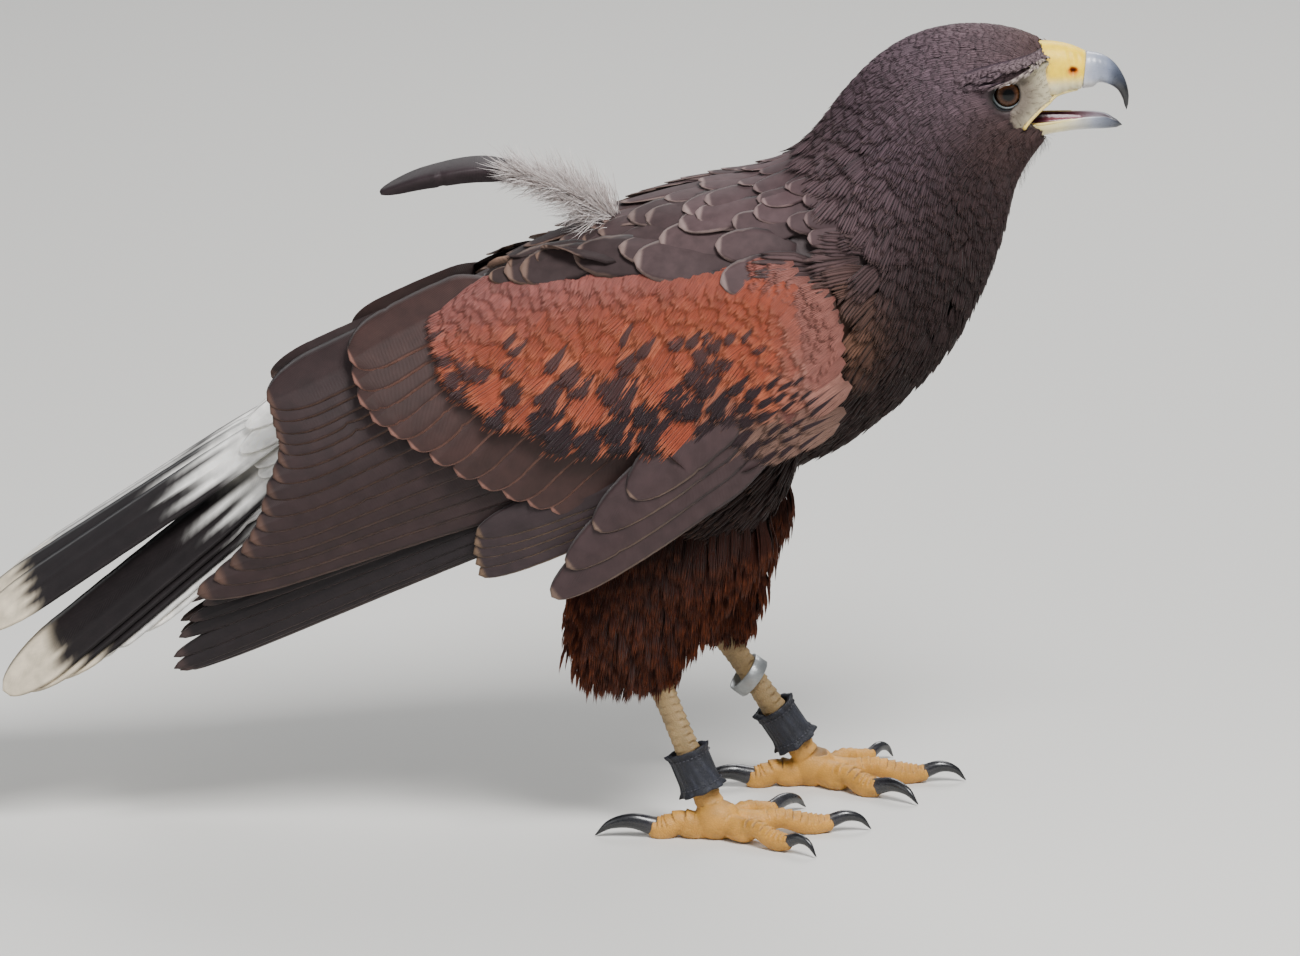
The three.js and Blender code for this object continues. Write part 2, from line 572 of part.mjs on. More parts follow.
function toeSolid(leg, toe) {
  const away = toeDirection(leg, toe);
  const sizes = [0, 0.3, 0.55, 0.8, 1].map((t, i) => {
    const pad = i % 2 ? 1.13 : 0.92;
    return [mix(toe.root, toe.tip, t) * pad, mix(toe.root, toe.tip, t) * pad * 1.04];
  });
  return limb(toePath(leg, toe), sizes, { ringCount: 7, across: vec(-away.y, away.x, 0), blunt: 0.7 });
}

// A talon that springs from the toe's end and curves down to the floor
function clawSolid(leg, toe, grow = 0) {
  const away = toeDirection(leg, toe);
  const tip = toePath(leg, toe)[4];
  const at = (along, z) => tip.clone().setZ(z).addScaledVector(away, along);
  const reach = toe.claw;
  const path = [at(-1, 4.4), at(reach * 0.3, 6.6), at(reach * 0.62, 5.2), at(reach * 0.84, 0.9)];
  const root = toe.clawRoot;
  const sizes = [[root * 0.8, root], [root * 0.66, root * 0.8], [root * 0.42, root * 0.5], [0.35, 0.35]];
  return limb(path, sizes, { sides: 6, ringCount: 6, across: vec(-away.y, away.x, 0), blunt: 0.6, grow });
}

function footSolid(leg) {
  const pad = new THREE.SphereGeometry(PAD.radius, 12, 7).scale(1, 0.86, PAD.height / PAD.radius / 1.5);
  const ball = solidOf(pad.translate(leg.foot.x, leg.side * leg.foot.y, PAD.height * 0.55));
  const foot = joined([ball, ...TOES.map((toe) => toeSolid(leg, toe))]);
  const claws = TOES.map((toe) => clawSolid(leg, toe, GAP)).reduce((all, claw) => all.add(claw));
  return largest(foot.intersect(halfSpace(vec(0, 0, 0), vec(0, 0, 1))).subtract(claws));
}

// A lathed band round the tarsus, share of the way up it
function bandOn(leg, share, profile, tiltDeg = 0) {
  const { top, bottom, y } = leg.tarsus;
  const low = vec(bottom[0], leg.side * y, bottom[1]);
  const high = vec(top[0], leg.side * leg.y, top[1]);
  const centre = low.clone().lerp(high, share);
  const turn = new THREE.Quaternion().setFromUnitVectors(vec(0, 1, 0), high.sub(low).normalize());
  const tilt = new THREE.Quaternion().setFromAxisAngle(vec(0, 1, 0), rad(tiltDeg));
  const band = new THREE.LatheGeometry(profile.map(([r, h]) => new THREE.Vector2(r, h)), 16);
  return solidOf(band.applyQuaternion(turn).applyQuaternion(tilt).translate(centre.x, centre.y, centre.z));
}

function cuffSolid(leg) {
  const inner = Math.max(...TARSUS[2]) + CUFF.play;
  const outer = inner + CUFF.wall;
  const { height, flare } = CUFF;
  const outside = [[outer + flare, 0], [outer, height * 0.35], [outer, height * 0.7]];
  const profile = [[inner, 0], ...outside, [outer + flare * 0.6, height], [inner, height], [inner, 0]];
  return bandOn(leg, CUFF.rise, profile).subtract(halfSpace(vec(0, 0, PAD.height * 0.5), vec(0, 0, -1)));
}

function legRingSolid(leg) {
  const { inner, wall, height, tiltDeg, up } = LEG_RING;
  const profile = [[inner, 0], [inner + wall, 0], [inner + wall, height], [inner, height], [inner, 0]];
  return bandOn(leg, up, profile, tiltDeg);
}

function looseFeather() {
  const line = new THREE.CatmullRomCurve3(LOOSE.path.map((p) => vec(...p)));
  const place = (along, across) => {
    const out = line.getTangent(along).cross(vec(0, 1, 0.35)).normalize();
    const side = out.clone().cross(line.getTangent(along)).normalize();
    const reach = (across * LOOSE.width * vaneWidth(along, 0.6)) / 2;
    return { point: line.getPoint(along).addScaledVector(side, reach), out };
  };
  const noise = noiseFrom(7);
  const down = Array.from({ length: LOOSE.downCount }, (_, i) => {
    const share = i / (LOOSE.downCount - 1);
    const root = line.getPoint(mix(0.06, 0.34, share)).add(vec(0, 0, -1));
    const angle = mix(0.5, 1.9, (i % 3) / 2) + 0.15 * noise();
    const reach = LOOSE.downReach * (0.8 + 0.2 * noise());
    const tip = root.clone().add(vec(-Math.cos(angle) * reach, 6 * noise(), Math.sin(angle) * reach * 0.6));
    const control = root.clone().lerp(tip, 0.5).add(vec(0, 0, 2));
    return lock({ root, control, tip, across: vec(0.8, 0.5, 0.3).normalize(), width: 8 });
  });
  return joined([vane(place, [0.08, 0.28, 0.5, 0.72, 0.9]), ...down]);
}

function ballSolid(x, y, z, radius, detail = [12, 9]) {
  return solidOf(new THREE.SphereGeometry(radius, ...detail).translate(x, y, z));
}

const parts = new THREE.Group();
function addPart(name, solid, colour, roughness = 0.85, metalness = 0) {
  const { vertProperties, triVerts } = solid.getMesh();
  const geometry = new THREE.BufferGeometry();
  geometry.setAttribute("position", new THREE.BufferAttribute(vertProperties, 3));
  geometry.setIndex(new THREE.BufferAttribute(triVerts, 1));
  geometry.computeVertexNormals();
  const material = new THREE.MeshStandardMaterial({ color: colour, roughness, metalness });
  const mesh = new THREE.Mesh(geometry, material);
  mesh.name = name;
  parts.add(mesh);
}

// Body, parted by thin cuts
const bodyOf = (grow) =>
  loft(BODY, { start: TAIL_ROOT_TIP, end: FACE_TIP, ringCount: BODY_RINGS, grow });
const body = bodyOf(0);
const bodyGrown = bodyOf(GAP);
const cutSide = ({ at, along }, sign) => {
  const normal = vec(along[0], 0, along[1]).multiplyScalar(sign);
  return halfSpace(vec(at[0], 0, at[1]).addScaledVector(normal, GAP / 2), normal);
};
const torso = body.intersect(cutSide(NECK_CUT, -1));
const neck = body.intersect(cutSide(NECK_CUT, 1)).intersect(cutSide(HEAD_CUT, -1));

// Bill and mouth
const cereOf = (grow) =>
  loft(CERE, { start: [104, 305], end: [130.5, 306.5], ringCount: 7, sides: 14, grow });
const billOf = (grow) => loft(BILL, { start: [126, 306], end: BILL_TIP, ringCount: 12, sides: 12, grow });
const mandibleOf = (grow) =>
  loft(MANDIBLE, { start: [101.5, 283.5], end: MANDIBLE_TIP, ringCount: 10, sides: 12, grow });
const gapeShape = new THREE.Shape(MOUTH.map(([x, z]) => new THREE.Vector2(x, z)));
const wedge = new THREE.ExtrudeGeometry(gapeShape, { depth: GAPE_REACH * 2, bevelEnabled: false });
const gape = solidOf(wedge.translate(0, 0, -GAPE_REACH).rotateX(Math.PI / 2));
const mandibleHollow = loft(
  MANDIBLE.slice(0, 5).map(({ back, belly, half, widest }) => ({
    back: [back[0] - 1.5, back[1] + 4],
    belly: [belly[0] - 1.5, belly[1] + MANDIBLE_WALL * 1.4],
    half: Math.max(1, half - MANDIBLE_WALL),
    widest,
  })),
  { start: [100, 288], end: [137.5, 288], ringCount: 7, sides: 10 },
);
const tongueOf = (grow) =>
  loft(TONGUE, { start: [104.5, 284.6], end: TONGUE_TIP, ringCount: 7, sides: 12, grow });

// Head, with its brows, eye hollows and open gape
const browOf = (side) => {
  const [rear, front] = [BROW.rear, BROW.front].map(([x, y, z]) => vec(x, side * y, z));
  const bulge = (t) => vec(0, side * BROW.bulge * Math.sin(Math.PI * t), 0);
  const path = [0, 0.35, 0.7, 1].map((t) => rear.clone().lerp(front, t).add(bulge(t)));
  return limb(path, BROW.radii.map((r) => [r * 1.25, r * 0.8]), { ringCount: 7, blunt: 0.9 });
};
const lidsOf = (side) => {
  const ring = new THREE.TorusGeometry(LIDS.radius, LIDS.tube, 5, 12).rotateX(Math.PI / 2);
  return solidOf(ring.translate(EYE.x, side * (EYE.side + LIDS.out), EYE.z));
};
const bothSides = [-1, 1];
const eyeBalls = bothSides.map((side) => ballSolid(EYE.x, side * EYE.side, EYE.z, EYE.radius));
let head = body.intersect(cutSide(HEAD_CUT, 1));
for (const side of bothSides) {
  const hollow = [EYE.x + SOCKET.ahead, side * (EYE.side + SOCKET.lift), EYE.z - SOCKET.drop];
  head = head.subtract(ballSolid(...hollow, SOCKET.radius)).add(browOf(side)).add(lidsOf(side));
  head = head.subtract(ballSolid(EYE.x, side * EYE.side, EYE.z, EYE.radius + GAP));
}
head = head.subtract(gape).subtract(cereOf(GAP)).subtract(mandibleOf(GAP)).subtract(tongueOf(GAP));

const cere = largest(cereOf(0).subtract(billOf(GAP)).subtract(gape));
const nostrilOf = (side) => ballSolid(NOSTRIL.x, side * NOSTRIL.side, NOSTRIL.z, NOSTRIL.radius, [10, 6]);
const upperBill = billOf(0);
const overMandible = halfSpace(vec(0, 0, 289.6), vec(0, 0, 1));
const mandible = largest(mandibleOf(0).subtract(mandibleHollow).subtract(overMandible));
const tongue = tongueOf(0);

addPart("torso", largest(torso), COLOURS.torso);
addPart("neck", largest(neck), COLOURS.neck);
addPart("head", largest(head), COLOURS.head);
addPart("cere", largest(cere.subtract(nostrilOf(-1)).subtract(nostrilOf(1))), COLOURS.cere, 0.45);
addPart("bill_upper", upperBill, COLOURS.bill, 0.35);
addPart("bill_lower", mandible, COLOURS.bill, 0.4);
addPart("tongue", largest(tongue.subtract(mandibleOf(GAP).subtract(mandibleHollow))), COLOURS.mouth, 0.4);
addPart("eye_right", eyeBalls[0], COLOURS.eye, 0.08);
addPart("eye_left", eyeBalls[1], COLOURS.eye, 0.08);

// Legs
for (const [name, leg] of Object.entries(LEGS)) {
  const tarsus = tarsusSolid(leg);
  const foot = footSolid(leg);
  const tarsusGrown = tarsusSolid(leg, GAP);
  const thigh = joined([thighSolid(leg), ...thighLocks(leg)]);
  addPart(`thigh_${name}`, largest(thigh.subtract(bodyGrown).subtract(tarsusGrown)), COLOURS.thigh);
  addPart(`tarsus_${name}`, tarsus, COLOURS.scale, 0.55);
  addPart(`foot_${name}`, largest(foot.subtract(tarsusGrown)), COLOURS.scale, 0.55);
  addPart(`anklet_${name}`, largest(cuffSolid(leg)), COLOURS.leather, 0.6);
  for (const toe of TOES) addPart(`claw_${name}_${toe.name}`, clawSolid(leg, toe), COLOURS.claw, 0.3);
}
addPart("leg_ring_left", legRingSolid(LEGS.left), COLOURS.metal, 0.35, 0.9);

// Tail and wings
addPart("tail", largest(joined(tailSolids()).subtract(bodyGrown)), COLOURS.tail);
for (const [name, leg] of Object.entries(LEGS)) {
  const feathers = WING_ROWS.flatMap((row) => wingRow(row, leg.side));
  const wing = joined([arm(leg.side), ...feathers]).subtract(bodyGrown).subtract(thighSolid(leg, GAP));
  addPart(`wing_${name}`, largest(wing), COLOURS.wing);
}
addPart("loose_feather", largest(looseFeather().subtract(bodyGrown)), COLOURS.down);

// The origin goes to the bottom centre of the bounding box
const box = new THREE.Box3().setFromObject(parts);
parts.position.set(-(box.min.x + box.max.x) / 2, -(box.min.y + box.max.y) / 2, -box.min.z);
const hawk = new THREE.Group();
hawk.add(parts);
export default hawk;
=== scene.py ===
import math

import bmesh
import bpy
import numpy as np
from mathutils import Matrix, Vector
from mathutils.bvhtree import BVHTree


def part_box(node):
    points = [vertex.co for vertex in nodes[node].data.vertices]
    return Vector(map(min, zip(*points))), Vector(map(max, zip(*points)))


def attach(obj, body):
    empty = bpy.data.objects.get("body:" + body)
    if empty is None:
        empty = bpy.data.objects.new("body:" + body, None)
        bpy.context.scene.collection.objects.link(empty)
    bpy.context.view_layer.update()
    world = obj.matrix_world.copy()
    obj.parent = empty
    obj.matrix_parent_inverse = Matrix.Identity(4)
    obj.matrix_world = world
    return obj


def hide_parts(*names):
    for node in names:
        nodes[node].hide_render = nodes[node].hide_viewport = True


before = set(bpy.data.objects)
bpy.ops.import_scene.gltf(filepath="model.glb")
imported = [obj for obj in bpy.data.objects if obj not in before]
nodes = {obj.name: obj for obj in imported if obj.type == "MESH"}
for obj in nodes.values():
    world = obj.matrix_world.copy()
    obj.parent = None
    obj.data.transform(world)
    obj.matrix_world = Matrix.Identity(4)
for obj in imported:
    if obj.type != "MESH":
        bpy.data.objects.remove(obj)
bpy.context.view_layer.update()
scene = bpy.context.scene

# Sizes are in millimetres in the solids' own frame: the bird faces +X, its right side is -Y, the floor is z = 0.
# The middle of the right eye says where that frame lies.
mm = 0.001
eyePlan = {"x": 96.5, "side": 12.8, "z": 300.3, "radius": 8.2}
eyeLow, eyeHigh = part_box("eye_right")
eyeAt = np.array([eyePlan["x"], -eyePlan["side"], eyePlan["z"]])
shift = (np.array(eyeLow) + np.array(eyeHigh)) / 2 - eyeAt * mm
toRow = Matrix.Translation(shift) @ Matrix.Scale(mm, 4)
sideNames = {-1: "right", 1: "left"}
draw, shapes = (np.random.default_rng(seed) for seed in (17, 5))
print("frame loaded, its origin is shifted by", np.round(shift, 4))


# Small helpers
def linear(code):
    channels = [int(code[i : i + 2], 16) / 255 for i in (1, 3, 5)]
    return np.array([c / 12.92 if c <= 0.04045 else ((c + 0.055) / 1.055) ** 2.4 for c in channels] + [1.0])


def addNode(tree, kind, settings=None, links=None):
    node = tree.nodes.new("ShaderNode" + kind)
    for name, value in (settings or {}).items():
        if isinstance(name, str) and hasattr(node, name):
            setattr(node, name, value)
        else:
            node.inputs[name].default_value = value
    for name, source in (links or {}).items():
        tree.links.new(getattr(source, "outputs", [source])[0], node.inputs[name])
    return node


def newMaterial(name):
    material = bpy.data.materials.new(name)
    material.use_nodes = True
    material.node_tree.nodes.clear()
    return material, material.node_tree


def mix(a, b, t):
    return a + (b - a) * t


# Takes each point's colour towards a hex value by its own share
def blend(colour, code, share):
    return mix(colour, linear(code), np.asarray(share)[..., None])


# Colours along a run of values, from rows of (value, hex)
def ramp(value, rows):
    table = np.array([linear(code) for _, code in rows])
    return np.stack([np.interp(value, [at for at, _ in rows], table[:, c]) for c in range(4)], -1)


def smooth(t):
    t = np.clip(t, 0, 1)
    return t * t * (3 - 2 * t)


def bell(t):
    return np.exp(-(t**2))


def unit(v):
    return v / np.maximum(np.linalg.norm(v, axis=-1, keepdims=True), 1e-9)


def fullTurn(count):
    return np.arange(count) / count * 2 * math.pi


def spline(points, t):
    points = np.asarray(points, float)
    t = np.clip(np.atleast_1d(t), 0, 1)
    last = len(points) - 1
    k = np.clip((t * last).astype(int), 0, last - 1)
    f = (t * last - k)[:, None]
    ends = np.vstack([2 * points[0] - points[1], points, 2 * points[-1] - points[-2]])
    p0, p1, p2, p3 = (ends[k + i] for i in range(4))
    bend = (2 * p0 - 5 * p1 + 4 * p2 - p3) + f * (3 * (p1 - p2) + p3 - p0)
    return p1 + 0.5 * f * ((p2 - p0) + f * bend)


def finish(obj, material, slot, *replaced):
    obj.data.materials.clear()
    obj.data.materials.append(material)
    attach(obj, "root")
    if replaced:
        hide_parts(*replaced)
    return obj


def link(name, data):
    obj = bpy.data.objects.new(name, data)
    scene.collection.objects.link(obj)
    return obj


def meshOf(bm, name):
    mesh = bpy.data.meshes.new(name)
    bm.to_mesh(mesh)
    bm.free()
    return mesh


# Rows of points or of normals
def rowsOf(data, key):
    rows = np.empty(len(data) * 3)
    data.foreach_get(key, rows)
    return rows.reshape(-1, 3)


def vertexPoints(obj):
    return (rowsOf(obj.data.vertices, "co") - shift) / mm


def setPoints(mesh, points):
    mesh.vertices.foreach_set("co", (points * mm + shift).ravel())
    mesh.update()


def addAttribute(mesh, key, values):
    isColour = np.ndim(values) > 1
    data = mesh.attributes.new(key, "FLOAT_COLOR" if isColour else "FLOAT", "POINT").data
    data.foreach_set("color" if isColour else "value", np.asarray(values, np.float32).ravel())


def paint(obj, colours):
    addAttribute(obj.data, "tint", colours)


def treeOf(points, faces):
    return BVHTree.FromPolygons([Vector(p) for p in points], faces)


# A ring of edges through the points
def addRing(bm, points):
    verts = bmesh.ops.create_circle(bm, segments=len(points), radius=1)["verts"]
    for vert, point in zip(verts, points):
        vert.co = point
    return list({e for v in verts for e in v.link_edges})


def bridgeRings(bm, loops, count):
    return [face for i in range(count) for face in
            bmesh.ops.bridge_loops(bm, edges=loops[i] + loops[(i + 1) % len(loops)])["faces"]]


# A closed surface over rings of points, with an end point beyond the first and the last
def loftRings(bm, rings, start, end):
    loops = [addRing(bm, ring) for ring in rings]
    faces = bridgeRings(bm, loops, len(loops) - 1)
    for loop, point in ((loops[0], start), (loops[-1], end)):
        cap = bmesh.ops.contextual_create(bm, geom=loop)["faces"]
        tip = bmesh.ops.poke(bm, faces=cap)
        tip["verts"][0].co = point
        faces += tip["faces"]
    bmesh.ops.recalc_face_normals(bm, faces=faces)


def addPiece(name, bm):
    bmesh.ops.transform(bm, matrix=toRow, verts=bm.verts)
    mesh = meshOf(bm, name)
    mesh.shade_smooth()
    return link(name, mesh)


def loftedPiece(name, rings, start, end):
    bm = bmesh.new()
    loftRings(bm, rings, start, end)
    return addPiece(name, bm)


# Closed forms made one by a remesh, and smoothed
def joinedPiece(name, bm, voxel, smoothing):
    obj = link(name, meshOf(bm, name))
    obj.modifiers.new("join", "REMESH").voxel_size = voxel
    soften = obj.modifiers.new("soften", "SMOOTH")
    soften.factor, soften.iterations = 0.5, smoothing
    mesh = bpy.data.meshes.new_from_object(obj.evaluated_get(bpy.context.evaluated_depsgraph_get()))
    obj.modifiers.clear()
    obj.data = mesh
    return obj


# Rows of upper x and z, lower x and z, half width, and how far up it is widest
def stationTable(stations):
    return np.array([[*s[0], *s[1], *s[2:]] for s in stations], float)


def rounded(value, fullness):
    return np.sign(value) * np.abs(value) ** fullness


def bodyRings(stations, ringCount, sides, fullness=0.88):
    rings = []
    angle = fullTurn(sides)
    for row in spline(stationTable(stations), np.linspace(0, 1, ringCount)):
        back, belly, half, widest = row[0:2], row[2:4], row[4], row[5]
        centre = mix(belly, back, widest)
        height = rounded(np.cos(angle), fullness)
        aside = rounded(np.sin(angle), fullness) * half
        reach = np.where(height[:, None] > 0, back - centre, belly - centre) * np.abs(height)[:, None]
        rings.append(np.stack([centre[0] + reach[:, 0], aside, centre[1] + reach[:, 1]], 1))
    return rings


# Rings round a path; sizes are half thicknesses across the bird and the other way
def limbRings(path, sizes, ringCount, sides, across=(0, 1, 0)):
    t = np.linspace(0, 1, ringCount)
    centre = spline(path, t)
    along = unit(np.gradient(centre, axis=0))
    fore = unit(np.cross(along, across))
    side = unit(np.cross(fore, along))
    size = spline(sizes, t)
    angle = fullTurn(sides)
    sideways = side[:, None] * (size[:, 0:1] * np.sin(angle))[..., None]
    upwards = fore[:, None] * (size[:, 1:2] * np.cos(angle))[..., None]
    return centre[:, None] + sideways + upwards, centre, along


# The trunk, neck and head: back line, belly line, half width, and how far up it is widest
bodyPlan = [
    ((-153, 189), (-144, 172), 12, 0.5), ((-135, 206), (-117, 153), 27, 0.5),
    ((-110, 223), (-88, 141), 39, 0.5), ((-82, 239.5), (-56, 135), 47, 0.55),
    ((-54, 251), (-24, 134), 51, 0.6), ((-27, 260), (8, 142), 53, 0.6),
    ((-4, 265), (35, 155), 52, 0.58), ((10, 271), (58, 173), 48, 0.52),
    ((19, 278.5), (77, 194), 41, 0.5), ((27.5, 290), (90.5, 221), 33.5, 0.5),
    ((36.5, 301.5), (97.5, 242), 28.5, 0.5), ((48.5, 313), (101, 258), 26, 0.52),
    ((64, 321), (105, 267), 24.5, 0.55), ((82, 324), (109, 273), 22.5, 0.58),
    ((99, 322.5), (113, 278), 18, 0.6), ((111, 318.5), (116.5, 282), 12, 0.6),
]
bodyLines = stationTable(bodyPlan)[:, :4]
lastStation = len(bodyPlan) - 1
lineSteps = np.linspace(0, lastStation, 301)
lineTable = spline(bodyLines, lineSteps / lastStation)


# Where points lie on the body: stations from the tail root (0) to the lores (15), height from belly (0) to back (1)
def bodyPlace(points):
    belly, back = lineTable[:, 2:4], lineTable[:, 0:2]
    spoke = back - belly
    found, share = [], []
    for chunk in np.array_split(points[:, [0, 2]], max(1, len(points) // 4000)):
        away = chunk[:, None] - belly
        t = np.clip((away * spoke).sum(-1) / (spoke**2).sum(-1), 0, 1)
        gap = ((away - t[..., None] * spoke) ** 2).sum(-1)
        best = gap.argmin(1)
        found.append(lineSteps[best])
        share.append(t[np.arange(len(chunk)), best])
    return np.concatenate(found), np.concatenate(share)


# The way that feathers lie there: towards the tail along the body's own lines
def bodyFlow(station, height):
    step = 0.05
    delta = spline(bodyLines, (station - step) / lastStation) - spline(bodyLines, (station + step) / lastStation)
    flow = delta[:, 2:4] * (1 - height)[:, None] + delta[:, 0:2] * height[:, None]
    return unit(np.stack([flow[:, 0], np.zeros(len(flow)), flow[:, 1]], 1))


# The folded wing as a sheet: its half width from the middle of the bird, the same formula as in the solids
wing = {
    "widest": 66, "widestX": -40, "frontDrop": 9, "frontRun": 75, "rearSlope": 0.08, "rearBlend": 30,
    "midLevel": 195, "midSlope": 0.36, "upperDrop": 15, "upperRun": 50, "lowerDrop": 6, "lowerRun": 60,
    "settle": {-1: 0, 1: 6},
}


def wingHalf(x, z):
    behind = wing["widestX"] - x
    front = wing["frontDrop"] * (np.maximum(0, -behind) / wing["frontRun"]) ** 2
    bent = np.hypot(behind, wing["rearBlend"]) - wing["rearBlend"]
    rear = np.where(behind > 0, wing["rearSlope"] / 2 * (bent + np.maximum(0, behind)), 0)
    above = z - (wing["midLevel"] + wing["midSlope"] * np.minimum(0, x))
    drop = np.where(above > 0, wing["upperDrop"], wing["lowerDrop"])
    run = np.where(above > 0, wing["upperRun"], wing["lowerRun"])
    return wing["widest"] - front - rear - drop * (above / run) ** 2


# The form under the coat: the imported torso, neck and head, with smooth thighs and arms, made one by a remesh
thighs = {
    -1: [((-14, 166), 32, 15), ((-27, 138), 36, 15.5), ((-43, 112), 31, 14), ((-50, 90), 23, 11.5),
         ((-49, 70), 14, 8), ((-46, 61), 7, 5)],
    1: [((-10, 166), 30, 15), ((-13, 138), 29, 15.5), ((-17, 112), 23, 14), ((-17, 90), 17, 11.5),
        ((-15, 72), 11, 8), ((-13, 63), 7, 5)],
}
thighSide = 30
armOutline = [
    (34, 212), (27, 231), (10, 241), (-18, 243.5), (-50, 243), (-84, 239.5), (-108, 232), (-116, 222),
    (-100, 205), (-79, 188), (-53, 172), (-29, 158), (-4, 157), (13, 171), (27, 192), (34, 212),
]
form = {"voxel": 1.5, "smoothing": 5, "thighSides": 32, "thighRings": 22, "armSides": 64, "swell": 0.35}
armSteps = [(0.2, 0), (0.45, 0), (0.7, 0.6), (0.86, 1.6), (0.96, 3), (1, 5), (0.96, 8), (0.8, 16), (0.5, 24)]


def thighRings(side):
    angle = fullTurn(form["thighSides"])
    table = [(*s[0], *s[1:]) for s in thighs[side]]
    return [np.stack([x + fore * np.cos(angle), side * thighSide + half * np.sin(angle), np.full(len(angle), z)], 1)
            for x, z, fore, half in spline(table, np.linspace(0, 1, form["thighRings"]))]


def armRings(side):
    edge = spline(armOutline, np.linspace(0, 1, form["armSides"] + 1))[:-1]
    centre = edge.mean(0)
    rings = []
    for share, depth in armSteps:
        flat = centre + (edge - centre) * share
        y = side * (wingHalf(flat[:, 0], flat[:, 1]) - depth)
        rings.append(np.stack([flat[:, 0], y, flat[:, 1] - wing["settle"][side]], 1))
    return rings


def makeForm():
    bm = bmesh.new()
    for name in ("torso", "neck", "head"):
        part = bmesh.new()
        part.from_mesh(nodes[name].data)
        bmesh.ops.remove_doubles(part, verts=part.verts, dist=1e-7)
        bmesh.ops.transform(part, matrix=toRow.inverted(), verts=part.verts)
        # the thin cut between neighbours closes when each is swollen a little
        for vert in part.verts:
            vert.co += vert.normal * form["swell"]
        scratch = meshOf(part, "scratch")
        bm.from_mesh(scratch)
        bpy.data.meshes.remove(scratch)
    for side in sideNames:
        rings = thighRings(side)
        loftRings(bm, rings, rings[0].mean(0) + [0, 0, 8], rings[-1].mean(0) - [0, 0, 3])
        rings = armRings(side)
        loftRings(bm, rings, rings[0].mean(0), rings[-1].mean(0))
    return joinedPiece("form", bm, form["voxel"], form["smoothing"])


formObj = makeForm()
formMesh = formObj.data
formPoints = rowsOf(formMesh.vertices, "co")
formNormals = rowsOf(formMesh.vertex_normals, "vector")
formFaces = [tuple(p.vertices) for p in formMesh.polygons]
formTree = treeOf(formPoints, formFaces)
faceNormals = unit(np.array([formNormals[list(f)].mean(0) for f in formFaces]))
print("form:", len(formFaces), "faces")


# Colours of the coat, from the tail root (station 0) to the lores (15): the middle and the rim of a feather
coatColours = {
    "belly": [(0, "#cfc4b6", "#e2dacd"), (1.3, "#b9a998", "#d5c9b9"), (2.2, "#33211c", "#5a3c30"),
              (5, "#231614", "#38261f"), (7, "#221615", "#392724"), (9, "#261a1a", "#42312f"),
              (11, "#2e2122", "#4f3c3a"), (13, "#3b2b2a", "#5d4845"), (15, "#41302e", "#6a544e")],
    "back": [(0, "#bdae9d", "#d8cbb9"), (0.8, "#7d6a5c", "#b49c85"), (1.8, "#2e2422", "#6b5344"),
             (4, "#352a2a", "#705a50"), (6, "#473839", "#7c6a66"), (8, "#463638", "#705c5b"),
             # the crown's rows at stations 12 and 13.6 are lighter: partly the crown's own colour, partly a painted
             # highlight of sun on the head's top
             (10, "#43343a", "#6c595b"), (12, "#54444b", "#85727a"), (13.6, "#544347", "#857177"),
             (15, "#4b3a3a", "#786259")],
    "thigh": ("#3a1609", "#5c2b14"), "shoulder": ("#654636", "#8a6850"), "lores": ("#6a6055", "#c0b698"),
    "mouth": "#5c2a33", "brow": "#b9aea6",
}


def inside(outline, x, z):
    found = np.zeros(len(x), bool)
    for (x0, z0), (x1, z1) in zip(outline, outline[1:] + outline[:1]):
        crosses = (z0 > z) != (z1 > z)
        found ^= crosses & (x < x0 + (z - z0) / (z1 - z0 if z1 != z0 else 1e-9) * (x1 - x0))
    return found


# Outlines on the face, seen from the side: the pale lores, and the open mouth with its edges
loresOutline = [(98.9, 305.6), (108, 311), (114, 316), (119, 308), (122, 299), (113, 294.2), (104, 286.6),
                (100.8, 287), (98.3, 291.6), (100.5, 297.8), (101, 302)]
mouthOutline = [(103.6, 286.4), (109, 292), (113.8, 295.1), (121, 298.2), (160, 302), (160, 284), (112, 284.4)]

# Lower edge of the scapulars on the wing: x and z
scapularEdge = ((-140, -122, -104, -80, -50, 0), (216, 222, 228, 232, 235, 239))


# The left wing sits lower; its points are raised to the right wing's place
def raised(y, z):
    return z + np.where(y > 0, wing["settle"][1], 0)


# Which part of the form each point belongs to, as weights from 0 to 1
def coatRegions(points):
    station, height = bodyPlace(points)
    x, y, z = points.T
    aside = np.abs(y)
    level = raised(y, z)
    onWing = inside(armOutline, x, level) & (aside > wingHalf(x, level) - 13) & (x < 33)
    scapular = onWing & (level > np.interp(x, *scapularEdge)) & (x < -2) & (x > -90)
    eyeAway = np.hypot(x - eyePlan["x"], z - eyePlan["z"])
    return {
        "station": station, "height": height, "wing": onWing & ~scapular, "scapular": scapular, "thigh": z < 134,
        "eyeAway": eyeAway, "lores": (inside(loresOutline, x, z) & (aside > 3)).astype(float),
        "shoulder": np.exp(-(((x - 38) / 13) ** 2 + ((z - 216) / 15) ** 2)) * (aside > 25),
        "front": smooth((eyeAway - 8) / 11) * smooth((x - 98) / 9)}


def groundColours(region):
    height = smooth((region["height"] - 0.25) / 0.5)[:, None]
    pair = []
    for which in (0, 1):
        low, high = (ramp(region["station"], [(row[0], row[1 + which]) for row in coatColours[key]])
                     for key in ("belly", "back"))
        colour = blend(mix(low, high, height), coatColours["shoulder"][which], 0.85 * region["shoulder"])
        colour = blend(colour, coatColours["thigh"][which], region["thigh"])
        pale = mix(*(linear(code) for code in coatColours["lores"]), region["front"][:, None])
        pair.append(mix(colour, pale, region["lores"][:, None]))
    return pair


